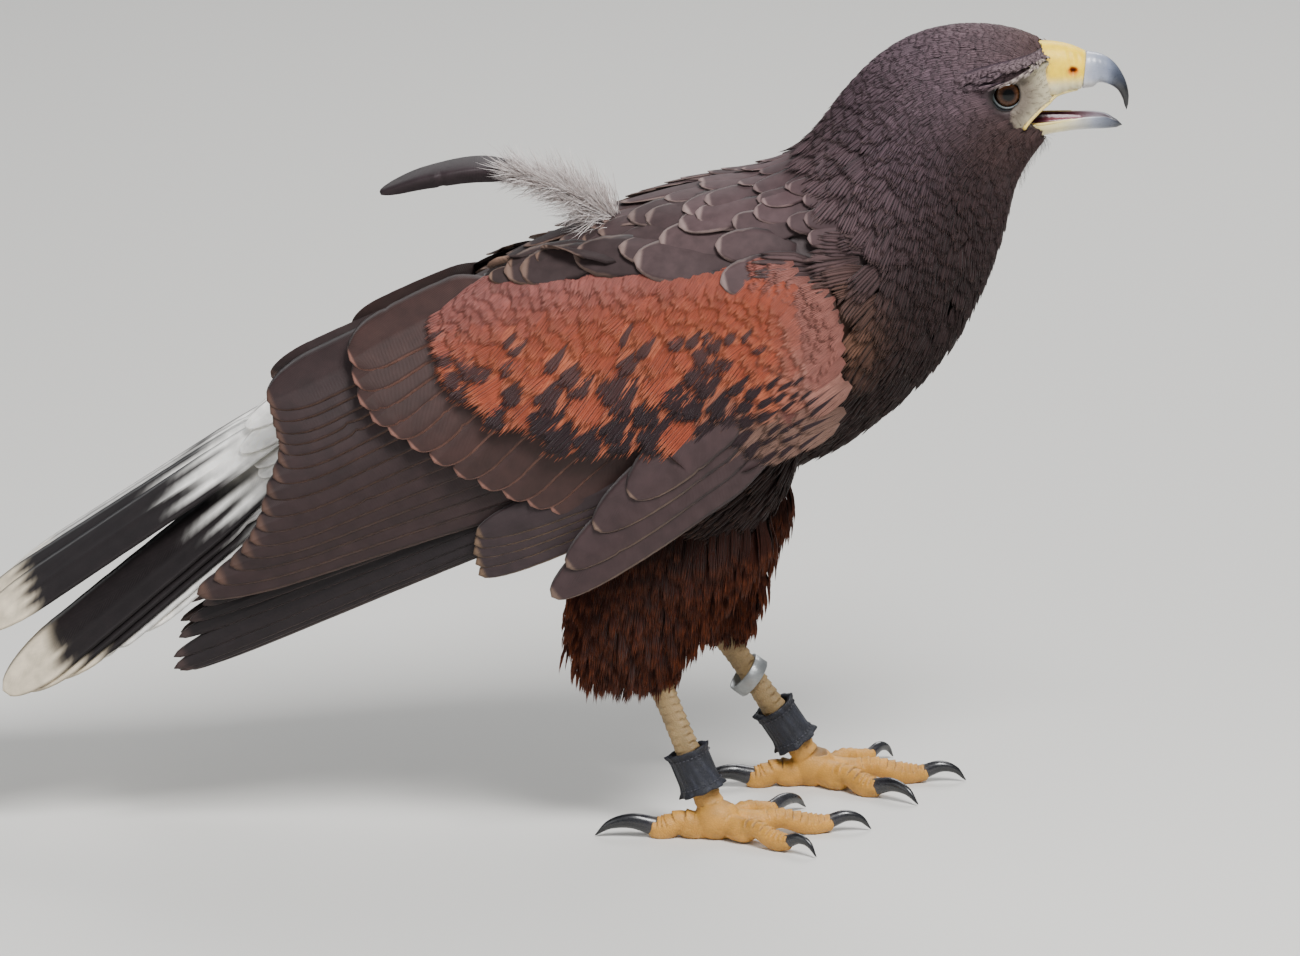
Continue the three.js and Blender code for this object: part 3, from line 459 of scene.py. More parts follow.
# Feather vanes: keratin barbs, matt along the lie with a faint satin sheen, paler worn rims
def vaneMaterial(name, settings):
    material, tree = newMaterial(name)
    centre, rim, mask, tone, barb = (addNode(tree, "Attribute", {"attribute_name": key})
                                     for key in ("centre", "rim", "mask", "tone", "barb"))
    place = addNode(tree, "TexCoord")
    # fluff: soft unevenness a few millimetres across
    fluff = addNode(tree, "TexNoise", {"Scale": 1 / settings["fluff"], "Detail": 4.0},
                    {"Vector": place.outputs["Object"]})
    # barbs: real ones stand 0.3 mm apart, drawn coarser here so that they show
    turns = addNode(tree, "Math", {"operation": "MULTIPLY", 1: 2 * math.pi / settings["barb"]},
                    {0: barb.outputs["Fac"]})
    uneven = addNode(tree, "Math", {"operation": "MULTIPLY_ADD", 1: 5.0}, {0: fluff, 2: turns})
    wave = addNode(tree, "Math", {"operation": "SINE"}, {0: uneven})
    edge = addNode(tree, "Math", {"operation": "MULTIPLY_ADD", 1: settings["ragged"]},
                   {0: wave, 2: mask.outputs["Fac"]})
    edge = addNode(tree, "MapRange", {"From Min": 0.35, "From Max": 0.65}, {"Value": edge})
    colour = addNode(tree, "Mix", {"data_type": "RGBA"}, {0: edge, 6: centre, 7: rim})
    shade = addNode(tree, "Math", {"operation": "MULTIPLY_ADD", 1: settings["barbShade"], 2: 1.0}, {0: wave})
    mottle = addNode(tree, "MapRange", mottleRange(settings), {"Value": fluff})
    shade = addNode(tree, "Math", {"operation": "MULTIPLY"}, {0: shade, 1: mottle})
    shade = addNode(tree, "Math", {"operation": "MULTIPLY"}, {0: shade, 1: tone.outputs["Fac"]})
    shaded = addNode(tree, "VectorMath", {"operation": "SCALE"}, {0: colour.outputs[2], "Scale": shade})
    bump = addNode(tree, "Bump", {"Strength": settings["bump"], "Distance": 0.0003}, {"Height": wave})
    shader = addNode(tree, "BsdfPrincipled",
                     {"Roughness": settings["roughness"], "Sheen Weight": settings["sheen"],
                      "Sheen Roughness": 0.4, "Specular IOR Level": settings["specular"]},
                     {"Base Color": shaded, "Normal": bump})
    addNode(tree, "OutputMaterial", None, {"Surface": shader})
    return material


def mottleRange(settings):
    return {"From Min": 0.3, "From Max": 0.7, "To Min": 1 - settings["mottle"], "To Max": 1 + settings["mottle"]}


bodyVane = vaneMaterial("contour feather keratin, soft barbs", {
    "fluff": 0.004, "barb": 0.55, "ragged": 0.07, "barbShade": 0.04, "mottle": 0.16, "bump": 0.07,
    "roughness": 0.66, "sheen": 0.05, "specular": 0.16})
flightVane = vaneMaterial("flight feather keratin, close barbs", {
    "fluff": 0.006, "barb": 0.7, "ragged": 0.08, "barbShade": 0.07, "mottle": 0.2, "bump": 0.2,
    "roughness": 0.54, "sheen": 0.06, "specular": 0.32})

# The skin under the coat: bare skin carries the coat's own colours, and is pale at the lores
skinMaterial = vaneMaterial("skin under the coat", {
    "fluff": 0.003, "barb": 1.2, "ragged": 0.0, "barbShade": 0.02, "mottle": 0.14, "bump": 0.06,
    "roughness": 0.6, "sheen": 0.1, "specular": 0.3})


# Meshes made of many small closed forms, from arrays
def manyMesh(name, parts):
    together = {key: np.concatenate([p[key].reshape(-1, size) for p in parts])
                for key, size in (("points", 3), ("uv", 2), ("centre", 4), ("rim", 4))}
    mesh = bpy.data.meshes.new(name)
    mesh.vertices.add(len(together["points"]))
    mesh.vertices.foreach_set("co", (together["points"] * mm + shift).ravel())
    loops, totals, offset = [], [], 0
    for part in parts:
        copies, each = part["points"].shape[:2]
        base = (np.arange(copies) * each + offset)[:, None, None]
        for faces in part["faces"]:
            corner = (faces[None] + base).reshape(-1, faces.shape[1])
            loops.append(corner.ravel())
            totals.append(np.full(len(corner), faces.shape[1]))
        offset += copies * each
    loops, totals = np.concatenate(loops), np.concatenate(totals)
    mesh.loops.add(len(loops))
    mesh.loops.foreach_set("vertex_index", loops.astype(np.int32))
    mesh.polygons.add(len(totals))
    mesh.polygons.foreach_set("loop_start", (np.cumsum(totals) - totals).astype(np.int32))
    mesh.update(calc_edges=True)
    mesh.shade_smooth()
    mesh.uv_layers.new(name="OFBake").data.foreach_set("uv", together["uv"][loops].ravel().astype(np.float32))
    for key in ("centre", "rim"):
        addAttribute(mesh, key, together[key])
    for key in ("mask", "tone", "barb"):
        addAttribute(mesh, key, np.concatenate([p[key].ravel() for p in parts]))
    mesh.validate()
    return mesh


def trianglesIn(shape):
    return sum(len(f) * (f.shape[1] - 2) for f in shape["faces"])


def addCoat(name, parts, material, slot, *replaced):
    finish(link(name, manyMesh(name, parts)), material, slot, *replaced)
    print(name, sum(len(p["points"]) * trianglesIn(p) for p in parts), "triangles")


# Faces of a three-sided strand: rings of three points and a tip
def strandFaces(base, rings):
    quads = []
    for k in range(rings - 1):
        for j in range(3):
            a, b = base + 3 * k + j, base + 3 * k + (j + 1) % 3
            quads.append((a, a + 3, b + 3, b))
    last = base + 3 * (rings - 1)
    return quads, [(last + j, last + 3, last + (j + 1) % 3) for j in range(3)] + [(base, base + 1, base + 2)]


def shapeFrom(rows, quads, ends):
    along, across, up, strand = np.array(rows, float).T
    return {"along": along, "across": across, "up": up, "strand": strand, "faces": [np.array(quads), np.array(ends)]}


# A small feather as a fan of flat barb locks, each a closed three-sided strand
def tuftShape(strands, spread, lean=0.12, steps=(0, 0.45, 0.8), widths=(0.35, 1.0, 0.8, 0.5)):
    rows, quads, tris = [], [], []
    half = 1.15 / strands
    for s in range(strands):
        middle = mix(-1, 1, (s + 0.5) / strands) * spread
        reach = 1 - 0.24 * middle**2 + 0.06 * shapes.uniform(-1, 1)
        tilt = lean * shapes.uniform(-1, 1)
        more = strandFaces(len(rows), len(steps))
        quads, tris = quads + more[0], tris + more[1]
        for k, a in enumerate(steps):
            centre = middle * (0.35, 0.9, 1.0, 1.0)[min(k, 3)] + tilt * a
            rows += [(a * reach, centre + side * half * widths[min(k, 3)], height + 0.25 * (s % 2), s)
                     for side, height in ((-1, -0.5), (0, 0.6), (1, -0.5))]
        rows.append((reach, middle * 1.02 + tilt, 0, s))
    return shapeFrom(rows, quads, tris)


def tufts(count, *plan):
    return [tuftShape(*plan) for _ in range(count)]


# A tapered thread, bent to one side
def threadShape(steps, bend):
    rows = []
    for t in np.linspace(0, 1, steps + 1)[:-1]:
        size = 1 - 0.75 * t
        rows += [(t, bend * t * t * 6 + side * size, height * size, 0)
                 for side, height in ((-1, -0.5), (0, 0.7), (1, -0.5))]
    return shapeFrom(rows + [(1, bend * 6, 0, 0)], *strandFaces(0, steps))


# Steps from 0 to 1 that lie closer towards 1, for round tips
def crowded(rows):
    s = np.linspace(0, 1, rows)
    return 1.55 * s - 0.55 * s**2


# Faces of a closed vane: its upper grid, a flat underside and two ends
def gridFaces(rows, n):
    quads = [(r * n + c, (r + 1) * n + c, (r + 1) * n + c + 1, r * n + c + 1)
             for r in range(rows - 1) for c in range(n - 1)]
    quads += [(r * n, r * n + n - 1, (r + 1) * n + n - 1, (r + 1) * n) for r in range(rows - 1)]
    return [np.array(quads), np.array([tuple(range(n)), tuple(range(rows * n - 1, rows * n - n - 1, -1))])]


# How wide a feather still is near its rounded tip
def roundTip(a, taper, least):
    return np.sqrt(np.clip(1 - (np.maximum(0, a - 1 + taper) / taper) ** 2, least, 1))


# A broad feather: a grid over the vane, raised at the shaft
def plateShape(rows, columns, closing, ragged=0.03):
    a, grid = crowded(rows), np.array(columns, float)
    wide = mix(0.35, 1, smooth(a / 0.35)) * roundTip(a, closing, 0.004)
    edge = 1 + ragged * shapes.uniform(-1, 1, (rows, 1)) + 0 * grid
    across = grid[None] * wide[:, None] * edge
    up = np.where(np.abs(grid) < 0.01, 0.9, 0.5)[None] * (1 - np.abs(grid[None]) ** 6) * np.ones((rows, 1))
    return {"along": np.repeat(a, len(grid)), "across": across.ravel(), "up": up.ravel(), "strand": np.zeros(up.size),
            "faces": gridFaces(rows, len(grid)), "grid": np.tile(grid, rows)}


def hitsOnForm(points):
    return [formTree.find_nearest(Vector(p)) for p in points]


def nearestOnForm(points):
    hits = hitsOnForm(points)
    return np.array([h[0] for h in hits]), faceNormals[[h[2] for h in hits]]


# Keeps points in turn, and leaves out each that is too near to some already kept
def thin(points, cell, tooNear):
    around = np.stack(np.meshgrid(*[(-1, 0, 1)] * points.shape[1]), -1).reshape(-1, points.shape[1])
    kept, cells = [], {}
    for i, key in enumerate(np.floor(points / cell).astype(int)):
        near = [j for spot in map(tuple, (key + around).tolist()) for j in cells.get(spot, ())]
        if near and tooNear(i, near):
            continue
        kept.append(i)
        cells.setdefault(tuple(key.tolist()), []).append(i)
    return kept


# Points spread evenly over the form, spacing apart
def scatter(mask, spacing):
    corners = np.array([f[:4] for f in formFaces])
    quad = formPoints[corners]
    area = np.linalg.norm(np.cross(quad[:, 2] - quad[:, 0], quad[:, 3] - quad[:, 1]), axis=1) / 2
    middle = quad.mean(1)
    gap = spacing(middle) if callable(spacing) else np.full(len(middle), spacing)
    weight = np.where(mask(middle), area / gap**2, 0)
    count = int(weight.sum() * 3.2)
    chosen = draw.choice(len(corners), count, p=weight / weight.sum())
    u, v = draw.random((2, count, 1))
    q = quad[chosen]
    points = mix(mix(q[:, 0], q[:, 1], u), mix(q[:, 3], q[:, 2], u), v)
    radius = gap[chosen] * 0.8
    tooNear = lambda i, near: (((points[near] - points[i]) ** 2).sum(1) < radius[i] ** 2).any()
    return points[thin(points, float(radius.max()), tooNear)]


# Feathers are dealt out to the shapes in turn
def dealt(forms, count):
    for variant, shape in enumerate(forms[:count]):
        yield variant, shape, np.arange(variant, count, len(forms))


def strandShade(shape, amount, variant):
    return 1 + amount * np.sin(shape["strand"] * 2.4 + variant)


# Copies of one shape. In the bake map each is a small patch at its root's place
def copiesOf(shape, points, rootUv, centre, rim, mask, tone, barb=0):
    full = points.shape[:2]
    patch = np.stack([shape["across"] * 0.0013, shape["along"] * 0.0026], 1)
    return {"points": points, "faces": shape["faces"], "uv": rootUv[:, None] + patch[None],
            "centre": np.repeat(centre[:, None], full[1], 1), "rim": np.repeat(rim[:, None], full[1], 1),
            "mask": np.broadcast_to(mask, full), "tone": np.broadcast_to(tone, full),
            "barb": np.broadcast_to(barb, full)}


# Feathers laid along the form: each follows the surface from its root, and rises a little to its tip
layDefaults = {"hug": 1.0, "follow": 0.7, "camber": 0.12, "thick": 0.3, "strandTone": 0.12, "rootShade": 0.6}


def layOnForm(roots, flow, length, halfWidth, forms, rise, colours, options):
    options = {**layDefaults, **options}
    steps, count = 5, len(roots)
    low, high = (np.broadcast_to(v, count) for v in rise)
    at, normal = nearestOnForm(roots)
    way = unit(flow - normal * (flow * normal).sum(1, keepdims=True))
    trail = [(at, normal, way)]
    for _ in range(steps - 1):
        ahead = at + way * (length / (steps - 1))[:, None]
        at, found = nearestOnForm(ahead)
        at = mix(ahead, at, options["hug"])
        normal = unit(mix(normal, found, options["follow"]))
        way = unit(way - normal * (way * normal).sum(1, keepdims=True))
        trail.append((at, normal, way))
    path, normals, ways = (np.stack(v, 1) for v in zip(*trail))
    parts = []
    for variant, shape, pick in dealt(forms, count):
        a = np.clip(shape["along"], 0, 1) * (steps - 1)
        k = np.clip(a.astype(int), 0, steps - 2)
        f = (a - k)[None, :, None]
        centre, out, along = (mix(v[pick][:, k], v[pick][:, k + 1], f) for v in (path, normals, ways))
        out, along = unit(out), unit(along)
        t, across, half = shape["along"][None], shape["across"][None], halfWidth[pick][:, None]
        lift = mix(low[pick][:, None], high[pick][:, None], t**1.15)
        camber = options["camber"] * half * across**2
        points = centre + np.cross(out, along) * (across * half)[..., None]
        points = points + out * (lift - camber + shape["up"][None] * options["thick"])[..., None]
        tone = draw.uniform(1 - options["tone"], 1 + options["tone"], (len(pick), 1))
        fade = mix(options["rootShade"], 1, smooth(shape["along"] / 0.6))
        barb = (length[pick][:, None] * t - 0.9 * np.abs(across) * half) * ("grid" in shape)
        parts.append(copiesOf(shape, points, skinUv(roots[pick]), colours[0][pick], colours[1][pick],
                              options["mask"](shape)[None],
                              tone * (strandShade(shape, options["strandTone"], variant) * fade)[None], barb))
    return parts


# The skin, inside the form by the coat's depth
skinDepth = {"body": 3.6, "head": 0.9, "wing": 1.2, "thigh": 3.2}


def makeSkin():
    region = coatRegions(formPoints)
    toHead = smooth((region["station"] - 9) / 3)
    depth = mix(skinDepth["body"], skinDepth["head"], toHead)
    for key in ("wing", "thigh"):
        depth = np.where(region[key], skinDepth[key], depth)
    depth = depth * (1 - 0.8 * region["lores"])
    mesh = formMesh.copy()
    mesh.name = "skin"
    setPoints(mesh, formPoints - formNormals * depth[:, None])
    x, y, z = formPoints.T
    mouthIn = inside(mouthOutline, x, z) * (np.abs(y) < 9.5) * 1.0
    # bare skin within 7 mm of the eye's middle, round the globe, is darkened to near black: painted shade in the eye
    # socket under the brow
    under = smooth((7 - region["eyeAway"]) / 1.5) * (np.abs(y) > 12)
    for key, colour in zip(("centre", "rim"), groundColours(region)):
        addAttribute(mesh, key, blend(blend(colour, coatColours["mouth"], mouthIn), "#1d1714", under))
    addAttribute(mesh, "mask", 0.3 + region["lores"] * 0.3)
    # skin under the coat is dimmed to 0.55 of its colour, painted shade beneath the feathers; the bare lores and mouth
    # keep full colour, the head's skin is dimmed a little less
    addAttribute(mesh, "tone", mix(0.55, 1.0, np.maximum.reduce([region["lores"], mouthIn, toHead * 0.3])))
    addAttribute(mesh, "barb", region["station"] * 12)
    obj = link("skin", mesh)
    bpy.context.view_layer.objects.active = obj
    bpy.ops.object.select_all(action="DESELECT")
    obj.select_set(True)
    mesh.uv_layers.new(name="OFBake")
    bpy.ops.object.mode_set(mode="EDIT")
    bpy.ops.mesh.select_all(action="SELECT")
    bpy.ops.uv.smart_project(angle_limit=math.radians(70), island_margin=0.002)
    bpy.ops.object.mode_set(mode="OBJECT")
    obj.data.shade_smooth()
    uv = np.empty(len(obj.data.loops) * 2)
    obj.data.uv_layers["OFBake"].data.foreach_get("uv", uv)
    finish(obj, skinMaterial, "body_feathers", "torso", "neck", "head", "thigh_right", "thigh_left")
    return uv.reshape(-1, 2)[[p.loop_start for p in obj.data.polygons]]


faceUv = makeSkin()
print("skin done")


def skinUv(points):
    return faceUv[[h[2] for h in hitsOnForm(points)]]


# The coat of the trunk, neck and head: feather length by station, on the belly and on the back
coatPlan = {
    "stations": [0, 2, 4, 6, 7.5, 9, 10.5, 12, 13.5, 15],
    "belly": [20, 22, 22, 20, 17, 13, 10.5, 8.5, 6.8, 5],
    "back": [22, 32, 42, 38, 25, 14, 10, 8, 6.4, 4.6],
    "spacing": 0.29, "headSpacing": 0.27,
}


def coatLength(region):
    low = np.interp(region["station"], coatPlan["stations"], coatPlan["belly"])
    high = np.interp(region["station"], coatPlan["stations"], coatPlan["back"])
    return mix(low, high, smooth((region["height"] - 0.3) / 0.4))


def bareFace(points, region):
    eye = (region["eyeAway"] < 7.2) & (np.abs(points[:, 1]) > 10)
    front = (points[:, 0] > 114.5) & (points[:, 2] < 318)
    gape = inside(mouthOutline, points[:, 0], points[:, 2])
    return eye | front | gape | (region["lores"] > 0.5)


def coatMask(points):
    region = coatRegions(points)
    return ~(region["wing"] | region["thigh"] | bareFace(points, region))


def coatSpacing(points):
    region = coatRegions(points)
    share = mix(coatPlan["spacing"], coatPlan["headSpacing"], smooth((region["station"] - 10) / 3))
    return coatLength(region) * share


headTufts, neckTufts, breastTufts = (tufts(6, *plan) for plan in ((6, 0.78), (7, 0.8), (8, 0.85)))
backPlates = [plateShape(14, (-1, -0.72, -0.4, 0, 0.4, 0.72, 1), 0.42) for _ in range(6)]


def tuftEdge(shape):
    return 0.8 * smooth((shape["along"] - 0.72) / 0.3)


def scallopEdge(shape):
    edge = smooth((np.abs(shape.get("grid", shape["across"])) - 0.7) / 0.3)
    return np.maximum(smooth((shape["along"] - 0.86) / 0.14), edge * smooth((shape["along"] - 0.4) / 0.3))


coatZones = {
    "coat_head": (headTufts, 0.3, {"thick": 0.15, "rootShade": 0.8, "strandTone": 0.2}),
    "coat_neck": (neckTufts, 0.34, {"thick": 0.22, "rootShade": 0.78, "strandTone": 0.2}),
    "coat_breast": (breastTufts, 0.33, {"thick": 0.3, "rootShade": 0.7, "strandTone": 0.18}),
    "coat_back": (backPlates, 0.25, {"mask": scallopEdge, "tone": 0.16, "thick": 0.28, "camber": 0.14}),
}


def layCoat():
    points = scatter(coatMask, coatSpacing)
    region = coatRegions(points)
    x, y, z = points.T
    ones = np.ones(len(points))
    flow = bodyFlow(region["station"], region["height"])
    beside = smooth((np.abs(y) - 22) / 12) * smooth((region["height"] - 0.45) / 0.1) * (region["station"] < 8.3)
    away = np.stack([-ones, -0.22 * np.sign(y), -0.02 * ones], 1)
    flow = mix(flow, away, np.maximum(0.85 * beside, region["scapular"])[:, None])
    reach, _ = nearestOnForm(points + flow * coatLength(region)[:, None])
    under = inside(armOutline, x, raised(y, z)) & ~region["scapular"] & (np.abs(y) > 22) & (x < -10)
    over = coatRegions(reach)["wing"] & ~region["scapular"] & (region["station"] <= 9)
    stays = ~((over & (region["height"] < 0.5)) | under) | (region["station"] > 9)
    points, flow, over, region = points[stays], flow[stays], over[stays], {k: v[stays] for k, v in region.items()}
    station, height = region["station"], region["height"]
    sag = np.clip((9 - station) / 4, 0, 1) * np.clip((0.6 - height) / 0.4, 0, 1)
    flow = flow + np.array([0, 0, -0.35]) * sag[:, None]
    flow = flow + draw.normal(0, 0.1, flow.shape)
    length = coatLength(region) * draw.uniform(0.85, 1.15, len(points)) * np.where(over, 0.5, 1)
    length = length * np.where(region["scapular"] & (points[:, 0] < -66), 0.6, 1)
    colours = groundColours(region)
    low = -0.5 * mix(skinDepth["body"], skinDepth["head"], smooth((station - 9) / 3))
    high = mix(0.75, 0.15, smooth((station - 8) / 4))
    plates = (station < 8.3) & ((height > 0.66) | region["scapular"])
    zones = (station >= 11.3, (station < 11.3) & (station >= 8.8), (station < 8.8) & ~plates, plates)
    for (name, (forms, broad, options)), zone in zip(coatZones.items(), zones):
        share = np.flatnonzero(zone)
        share = share[np.argsort(station[share])]
        parts = layOnForm(points[share], flow[share], length[share], broad * length[share], forms,
                          (low[share], high[share]), [c[share] for c in colours],
                          {"mask": tuftEdge, "tone": 0.15, **options})
        addCoat(name, parts, bodyVane, "body_feathers")


layCoat()


# Long hair-like feathers of the thighs: they hang straight down, also past the thigh's lower end
thighCoat = {"spacing": 2.35, "length": 24, "halfWidth": 1.7, "lean": -0.12, "lift": 1.8, "sunk": 2.8, "hem": (53, 60),
             "upper": ("#2c1b17", "#4a2e25")}


def layThighs():
    forms = tufts(8, 5, 0.8, 0.12, (0, 0.3, 0.6, 0.85))
    points = scatter(lambda p: coatRegions(p)["thigh"] & (p[:, 2] > 66), thighCoat["spacing"])
    _, normal = nearestOnForm(points)
    count, z = len(points), points[:, 2]
    out = unit(normal * np.array([1, 1, 0]) + np.array([0, 0, 1e-4]))
    length = thighCoat["length"] * draw.uniform(0.72, 1.12, count)
    hem = np.where(points[:, 1] < 0, *thighCoat["hem"]) + draw.uniform(0, 9, count)
    length = np.clip(length, 7, np.maximum(7, z - hem))
    down = np.array([thighCoat["lean"], 0, -1.0]) + draw.normal(0, 0.05, (count, 3))
    down = unit(down - out * np.clip((92 - points[:, 2:3]) / 200, 0, 0.1))
    light = smooth((z - 112) / 30) * 0.5
    colours = [blend(np.tile(linear(code), (count, 1)), upper, light)
               for code, upper in zip(coatColours["thigh"], thighCoat["upper"])]
    for side, name in sideNames.items():
        parts = []
        mine = np.flatnonzero(np.sign(points[:, 1]) == side)
        for variant, shape, dealtTo in dealt(forms, len(mine)):
            pick = mine[dealtTo]
            t, c = shape["along"][None, :, None], shape["across"][None, :, None]
            root, along, up = (v[pick][:, None] for v in (points, down, out))
            across = unit(np.cross(up, along))
            rise = mix(-thighCoat["sunk"], thighCoat["lift"], smooth(t / 0.8))
            bow = np.sin(t * 3.1) * draw.uniform(-0.9, 0.9, (len(pick), 1, 1))
            path = root + along * t * length[pick][:, None, None]
            path = path + up * (rise + shape["up"][None, :, None] * 0.4)
            path = path + across * (c * thighCoat["halfWidth"] + bow)
            tone = draw.uniform(0.75, 1.2, (len(pick), 1))
            # each strand darkens towards its root, down to half: painted shade under the strands that hang over it
            tone = tone * (strandShade(shape, 0.2, variant) * mix(0.5, 1, shape["along"]))[None]
            parts.append(copiesOf(shape, path, skinUv(points[pick]), colours[0][pick], colours[1][pick],
                                  0.9 * smooth((shape["along"] - 0.55) / 0.45)[None], tone))
        addCoat(f"coat_thigh_{name}", parts, bodyVane, "thigh_feathers")


layThighs()


# Rows of large wing feathers: roots and tips on curves through [x, z], insets of both under the sheet, a downward
# bend, and where the shaft runs, from -1 at the upper edge to 1
wingRows = {
    "primaries": {
        "count": 10, "width": 13.5, "insets": (19, 14), "bend": 0.035, "taper": 0.55, "lift": 0.85, "shaft": 0.35,
        "rows": 44, "centre": "#1b1315", "rim": "#3d2f2d", "edge": 0.9,
        "roots": [(4, 172), (-9, 170), (-22, 174)],
        "tips": [(-213, 76), (-223, 71), (-230, 69), (-234, 71), (-231, 84), (-222, 96)]},
    "secondaries": {
        "count": 15, "width": 17.5, "insets": (14, 7), "bend": 0.02, "taper": 0.22, "lift": 0.82, "shaft": 0.2,
        "rows": 44, "centre": "#2b1d1d", "rim": "#4f3930", "edge": 0.9,
        "roots": [(-10, 172), (-52, 192), (-84, 212), (-96, 224)],
        "tips": [(-224, 103), (-209, 117), (-201, 129), (-196, 144), (-191, 158), (-193, 168), (-196, 178)]},
    "primary_coverts": {
        "count": 5, "width": 14, "insets": (9.6, 7.4), "bend": 0.03, "taper": 0.3, "lift": 0.7, "shaft": 0.25,
        "rows": 34, "centre": "#2f2325", "rim": "#65503f", "edge": 0.86,
        "roots": [(6, 165), (-8, 168)],
        "tips": [(-112, 112), (-114, 121), (-113, 129)]},
    "greater_coverts": {
        "count": 13, "width": 18, "insets": (7.4, 3.2), "bend": 0.06, "taper": 0.24, "lift": 0.72, "shaft": 0.1,
        "rows": 34, "centre": "#35221f", "rim": "#7a554a", "edge": 0.88,
        "roots": [(-20, 176), (-60, 196), (-90, 215), (-99, 226)],
        "tips": [(-74, 137), (-95, 143), (-118, 153), (-140, 166), (-157, 178), (-163, 196)]},
    "alula": {
        "count": 4, "width": 22, "insets": (2.6, -2), "bend": 0.04, "taper": 0.5, "lift": 1.25, "shaft": 0.3,
        "rows": 40, "centre": "#3a2a2b", "rim": "#6f5a4e", "edge": 0.9,
        "roots": [(15, 176), (6, 184), (-3, 190)],
        "tips": [(-83, 105.5), (-77, 118), (-66, 134), (-52, 148)]},
}
vaneColumns = np.array([-1, -0.8, -0.55, -0.3, -0.08, 0, 0.08, 0.3, 0.55, 0.8, 1])
vanePlan = {"thick": 0.36, "shaftHeight": 0.42, "camber": 0.35, "split": 0.16, "splits": 1, "splitLength": 0.012}


# Columns across a vane whose shaft isn't in its middle, as shares of the half width
def shaftColumns(shaft):
    return np.where(vaneColumns < 0, shaft + (1 + shaft) * vaneColumns, shaft + (1 - shaft) * vaneColumns)


# Half widths down both edges of a vane: a narrow quill, a full vane, a rounded or pointed tip, and a few splits
def vaneEdges(rows, taper, quillRun=0.3):
    a = crowded(rows)
    base = mix(0.32, 1, smooth(a / quillRun)) * mix(roundTip(a, taper, 0), 1, 0.03)
    edges = []
    for _ in range(2):
        edge = base * (1 + 0.004 * draw.normal(0, 1, rows))
        for at in draw.uniform(0.35, 0.93, draw.integers(0, vanePlan["splits"] + 1)):
            edge = edge * (1 - vanePlan["split"] * draw.uniform(0.2, 1) * bell((a - at) / vanePlan["splitLength"]))
        edges.append(edge)
    return a, *edges


# How far each point of a vane reaches from its shaft's line
def vaneReach(columns, upper, lower, half):
    return np.where(columns[None] < 0, upper[:, None], lower[:, None]) * columns[None] * half


# One vane with a tile of its own in the bake map; turned swaps its sides, to keep its faces outwards
def vanePart(points, a, columns, length, half, centre, rim, mask, tile, tone, turned=False):
    rows, n = len(a), len(columns)
    u0, v0, size = tile
    across, along = columns[None].repeat(rows, 0), a[:, None].repeat(n, 1)
    centre, rim = (np.broadcast_to(colour, (rows, n, 4)) for colour in (centre, rim))
    if turned:
        points, centre, rim, mask, across = (v[:, ::-1] for v in (points, centre, rim, mask, across))
    uv = np.stack([u0 + size * (0.1 + 0.8 * (across * 0.5 + 0.5)), v0 + size * (0.05 + 0.9 * along)], -1)
    return {"points": points.reshape(1, -1, 3), "faces": gridFaces(rows, n), "uv": uv, "centre": centre, "rim": rim,
            "mask": mask, "tone": np.full(rows * n, tone), "barb": along * length - 0.8 * np.abs(across) * half}


# Tiles of a square grid, one for each vane
def tileOf(i, count):
    grid = math.ceil(math.sqrt(count))
    return (i % grid) / grid, (i // grid) / grid, 1 / grid


# Worn rims show along the lower edge and round the tip, where no feather lies over them
def rimMask(a, columns, edge, tipFrom=0.95):
    side = smooth((columns[None] - edge) / (1 - edge) * 0.9)
    tip = smooth((a[:, None] - tipFrom) / (1 - tipFrom) * 0.9)
    return np.maximum(side * smooth((a - 0.2) / 0.5)[:, None], tip)


def quadratic(p0, p1, p2, t):
    t = np.asarray(t)[..., None]
    point = (1 - t) ** 2 * p0 + 2 * t * (1 - t) * p1 + t**2 * p2
    tangent = 2 * (1 - t) * (p1 - p0) + 2 * t * (p2 - p1)
    return point, tangent


# Height of a feather's line above x, carried on along its slope past its ends
def heightAt(line, x):
    share = np.clip((x - line[0][0]) / (line[2][0] - line[0][0]), 0, 1)
    point, slope = quadratic(*line, share)
    return point[..., 1] + (x - point[..., 0]) * slope[..., 1] / slope[..., 0]


